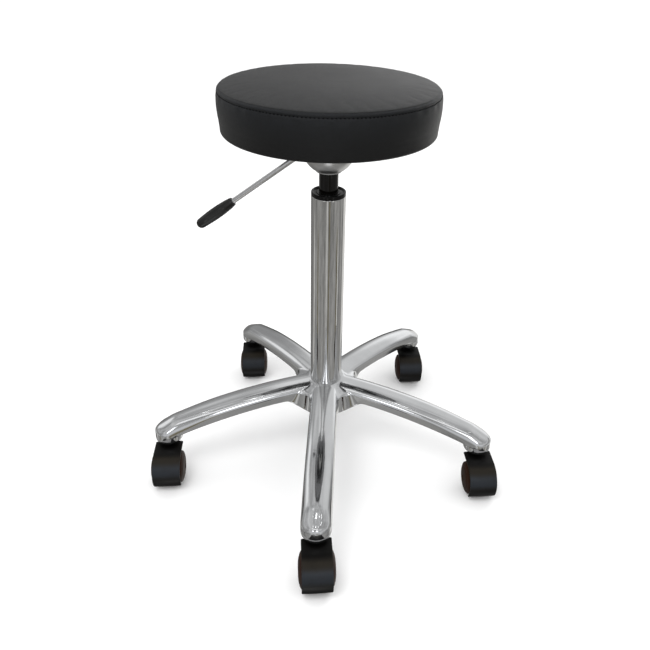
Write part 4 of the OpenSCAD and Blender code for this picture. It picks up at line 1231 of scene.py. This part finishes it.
class DustCloth(bpy.types.Operator):
    """Makes the dust cloth under the board, sagging a little between its staples"""

    bl_idname = "stool.dust_cloth"
    bl_label = "Dust cloth"

    def execute(self, context):
        """z = flat level - a step at the turned-in vinyl - small folds that fan out from the staples."""
        size = Millimetres(context.scene.stool_seat)
        turns, outer, thick, step_at, step = 240, 137.0, 0.6, 123, 1.45
        r = np.concatenate([np.linspace(0, 122, 26), np.linspace(step_at, 127, 7), np.linspace(128, outer, 9)])
        r = r[:, None]
        a = np.linspace(0, TURN, turns, endpoint=False)[None]
        fans = 0.22 * np.sin(30 * a) * smooth((r - 70) / 60) * smooth((outer - r) / 10)
        sag = 0.25 * np.sin(3 * a + 1) * smooth(r / 60) * smooth((118 - r) / 40)
        upper = size.board_height - 0.15 - step * smooth((r - step_at) / 3) + 0 * a
        lower = upper - thick - 0.25 - np.abs(fans + sag)
        radius = np.concatenate([r, r[::-1]])
        points = polar(radius, a, np.concatenate([upper, lower[::-1]]))
        piece = mesh_piece("underside_cloth", points, grid_quads(len(radius), turns, False, True), 40)
        dress(piece, "dust_cloth", "dust_cloth", "dust_cloth")
        across, area = 2 * outer * MM, math.pi * (outer * MM) ** 2
        return {"FINISHED"}


class Hardware(bpy.types.Operator):
    """Finishes the CAD parts that keep their own shape"""

    bl_idname = "stool.hardware"
    bl_label = "Hardware"

    def execute(self, context):
        merged_within, sharp = 0.002 * MM, math.radians(32)
        for finish, names in KEPT.items():
            for name in names:
                node = frame["nodes"][name]
                if not node.material_slots:
                    node.data.materials.append(material(finish))
                for place in node.material_slots:
                    place.material = material(finish)
                node.data.shade_smooth()
                node.modifiers.new("merged", "WELD").merge_threshold = merged_within
                node.modifiers.new("edges", "EDGE_SPLIT").split_angle = sharp
        return {"FINISHED"}


# Studio


def from_axes(*columns):
    """The matrix that turns X, Y and Z to the first three vectors and moves to the fourth."""
    matrix = np.eye(4)
    matrix[:3] = np.stack(columns, 1)
    return Matrix(matrix.tolist())


def aim_camera(group):
    """Camera where the photograph was taken from, rolled a little and turned about the column.

    forward = (sin yaw cos pitch, cos yaw cos pitch, -sin pitch).
    """
    away, height = 0.9151, 0.8077
    pitch, roll, yaw, turn = 0.4529, 0.031, 0.0373, math.radians(2.2781)
    forward = np.array([math.sin(yaw) * math.cos(pitch), math.cos(yaw) * math.cos(pitch), -math.sin(pitch)])
    right = np.cross(forward, UP)
    right /= np.linalg.norm(right)
    up = np.cross(right, forward)
    side, top = math.cos(roll) * right + math.sin(roll) * up, -math.sin(roll) * right + math.cos(roll) * up
    data = bpy.data.cameras.new("camera")
    data.lens, data.sensor_width = group.lens, 36
    pixels, ahead_x, ahead_y = 650, 350.3, 250  # the photograph's side, and its point straight ahead
    data.shift_x, data.shift_y = (pixels / 2 - ahead_x) / pixels, (ahead_y - pixels / 2) / pixels
    data.clip_start, data.clip_end = 0.01, 100
    camera = bpy.data.objects.new("camera", data)
    bpy.context.scene.collection.objects.link(camera)
    camera.matrix_world = Matrix.Rotation(turn, 4, "Z") @ from_axes(side, top, -forward, [0, -away, height])
    bpy.context.scene.camera = camera


def soft_light(name, spot, aim, width, height, power):
    data = bpy.data.lights.new(name, "AREA")
    data.shape, data.size, data.size_y, data.energy = "RECTANGLE", width, height, power
    lamp = bpy.data.objects.new(name, data)
    lamp.visible_glossy = False
    bpy.context.scene.collection.objects.link(lamp)
    back = np.subtract(spot, aim)
    back /= np.linalg.norm(back)
    side = np.cross(UP, back)
    side /= np.linalg.norm(side)
    lamp.matrix_world = from_axes(side, np.cross(back, side), back, spot)


# What the metal mirrors: direction to the right of the camera's side (180 is behind the stool) and height above the
# horizon, half width, half height and softness, all in degrees, then brightness, and how blue it is or, below 0, brown
PANELS = (
    (0, -52, 13, 7, 7, 2.6, 0.1),
    (0, -84, 180, 9, 7, 0.05),
    (-3, -24, 3.5, 24, 3, 0.62),
    (12, -24, 3, 24, 3, 0.14, -1.4),
    (-150, -30, 26, 40, 10, 0.20),
    (145, -28, 21, 36, 4, 0.78),
    (178, -44, 8, 38, 3, 0.08),
    (155, 16, 24, 12, 10, 1.15),
    (-158, 16, 20, 12, 10, 0.30),
    (0, 5, 44, 12, 9, 0.62, 0.1),
    (-67, -34, 2.5, 9, 2, 0.06, -2.2),
    (67, -34, 2.5, 9, 2, 0.06, -2.2),
    (77, -34, 3, 9, 2, 0.75),
    (-100, -33, 4, 9, 3, 0.7),
    (34, -16.2, 5, 3.6, 0.5, 1.1),
    (-27, -16.2, 4, 3.6, 0.5, 0.8),
    (140, 42, 46, 22, 14, 0.66),
    (-120, 24, 10, 10, 4, 0.95),
    (-170, 55, 9, 14, 5, 0.78),
    (-8, 56, 34, 5, 3, 1.10),
    (-20, 31, 5, 7, 3, 2.6, 0.2),
    (11, 31, 7, 8, 3, 2.9, 0.2),
    (-4, 72.5, 7, 0.7, 0.4, 5.0),
    (-40, 66, 2.5, 0.6, 0.4, 4.5),
    (34, 68, 3, 0.6, 0.4, 4.5),
    (58, 62, 2.5, 0.6, 0.4, 4.5),
    (-75, 70, 3, 0.6, 0.4, 4.5),
)


class Studio(bpy.types.Operator):
    """Sets the pale floor, the soft studio light and the camera"""

    bl_idname = "stool.studio"
    bl_label = "Studio"

    def execute(self, context):
        group = context.scene.stool_studio
        aim_camera(group)
        self.room(context.scene, group)
        aim = (0, 0, 0.35)  # the column, half-way up
        soft_light("key_softbox", (-0.7, -0.9, 2.2), aim, 1.1, 0.8, group.key)
        soft_light("rim_softbox", (1.3, 1.2, 1.5), aim, 0.6, 1.1, group.key * 0.5)
        self.floor(group)
        context.scene.view_settings.view_transform = "Standard"
        return {"FINISHED"}

    def room(self, scene, group):
        """The room's light is even and white; what the metal mirrors is a grey room with the panels in it."""
        world = scene.world = bpy.data.worlds.new("studio")
        world.use_nodes = True
        room = Nodes(world.node_tree)
        toward = room.node("ShaderNodeTexCoord").outputs["Generated"]
        split = room.node("ShaderNodeSeparateXYZ", None, {0: toward}).outputs
        x, y, z = (Value(room, split[i]) for i in range(3))
        degrees = 180 / math.pi
        direction, height = x.math("ARCTAN2", y * -1) * degrees, z.math("ARCSINE") * degrees
        cloud = room.value(
            "ShaderNodeTexNoise", None, {"Vector": toward, "Scale": 3.2, "Detail": 4.0, "Roughness": 0.6}
        )
        grey = (0.30 + 0.16 * height.step(-8, 14)) * (2.6 * cloud - 0.3)  # darker below the horizon, and uneven
        tone = -0.12 * height.step(4, -12)  # brownish near the floor
        for about, level, wide, high, soft, bright, *blue in PANELS:
            aside = (direction - about).math("WRAP", 180, -180).math("ABSOLUTE").step(wide + soft, wide - soft)
            above = (height - level).math("ABSOLUTE").step(high + soft, high - soft)
            grey = grey + (bright - grey) * aside * above
            if blue:
                tone = tone + (blue[0] - tone) * aside * above
        channels = {0: grey * (1 - 0.1 * tone), 1: grey, 2: grey * (1 + 0.25 * tone)}
        mirrored = room.node("ShaderNodeCombineColor", None, channels).outputs[0]
        ray = room.node("ShaderNodeLightPath").outputs
        soft_sky = 0.08 + 1.12 * z.step(-0.1, 0.45) + 0.9 * z.step(-0.55, -0.85)  # from above, and back from the floor
        sky = room.blend(ray["Is Glossy Ray"], (1, 1, 1), mirrored)
        white = {0: (1, 1, 1), "Scale": soft_sky}
        shade = room.node("ShaderNodeVectorMath", {"operation": "SCALE"}, white).outputs[0]
        light = room.tree.nodes["Background"].inputs
        room.feed(light["Color"], room.blend(ray["Is Diffuse Ray"], sky, shade))
        room.feed(light["Strength"], group.sky)

    def floor(self, group):
        """A disc 80 m across, just below the wheels."""
        floor = mesh_piece("floor", *turned([(0, 0), (8000, 0), (40000, 0)], 96, close=False), 180)
        f = Finish("floor_paint", roughness=0.9)
        f.tint(f.blend(f.noise(900, 2), tuple(group.floor), tuple(min(1, 1.02 * c) for c in group.floor)))
        floor.data.materials.append(f.material)
        floor.location.z = -0.0005
        floor.visible_glossy = floor.visible_diffuse = False


OPERATORS = (StarBase, Column, Bell, Lever, Casters, Cushion, DustCloth, Hardware, Studio)


class SalonStoolPanel(bpy.types.Panel):
    """Lists the stool's pieces and their sizes"""

    bl_idname = "VIEW3D_PT_salon_stool"
    bl_label = "Salon Stool"
    bl_space_type = "VIEW_3D"
    bl_region_type = "UI"
    bl_category = "Salon Stool"

    def draw(self, context):
        for group in GROUPS:
            box = self.layout.box()
            owner = getattr(context.scene, group)
            for name in owner.__annotations__:
                box.prop(owner, name)
        for operator in OPERATORS:
            self.layout.operator(operator.bl_idname)


def register():
    for group in GROUPS.values():
        bpy.utils.register_class(group)
    for name, group in GROUPS.items():
        setattr(bpy.types.Scene, name, PointerProperty(type=group))
    for operator in OPERATORS:
        bpy.utils.register_class(operator)
    bpy.utils.register_class(SalonStoolPanel)


def unregister():
    bpy.utils.unregister_class(SalonStoolPanel)
    for operator in reversed(OPERATORS):
        bpy.utils.unregister_class(operator)
    for name in GROUPS:
        delattr(bpy.types.Scene, name)
    for group in reversed(GROUPS.values()):
        bpy.utils.unregister_class(group)


def main():
    register()
    for operator in OPERATORS:
        group, name = operator.bl_idname.split(".")
        getattr(getattr(bpy.ops, group), name)()


if __name__ == "__main__":
    main()
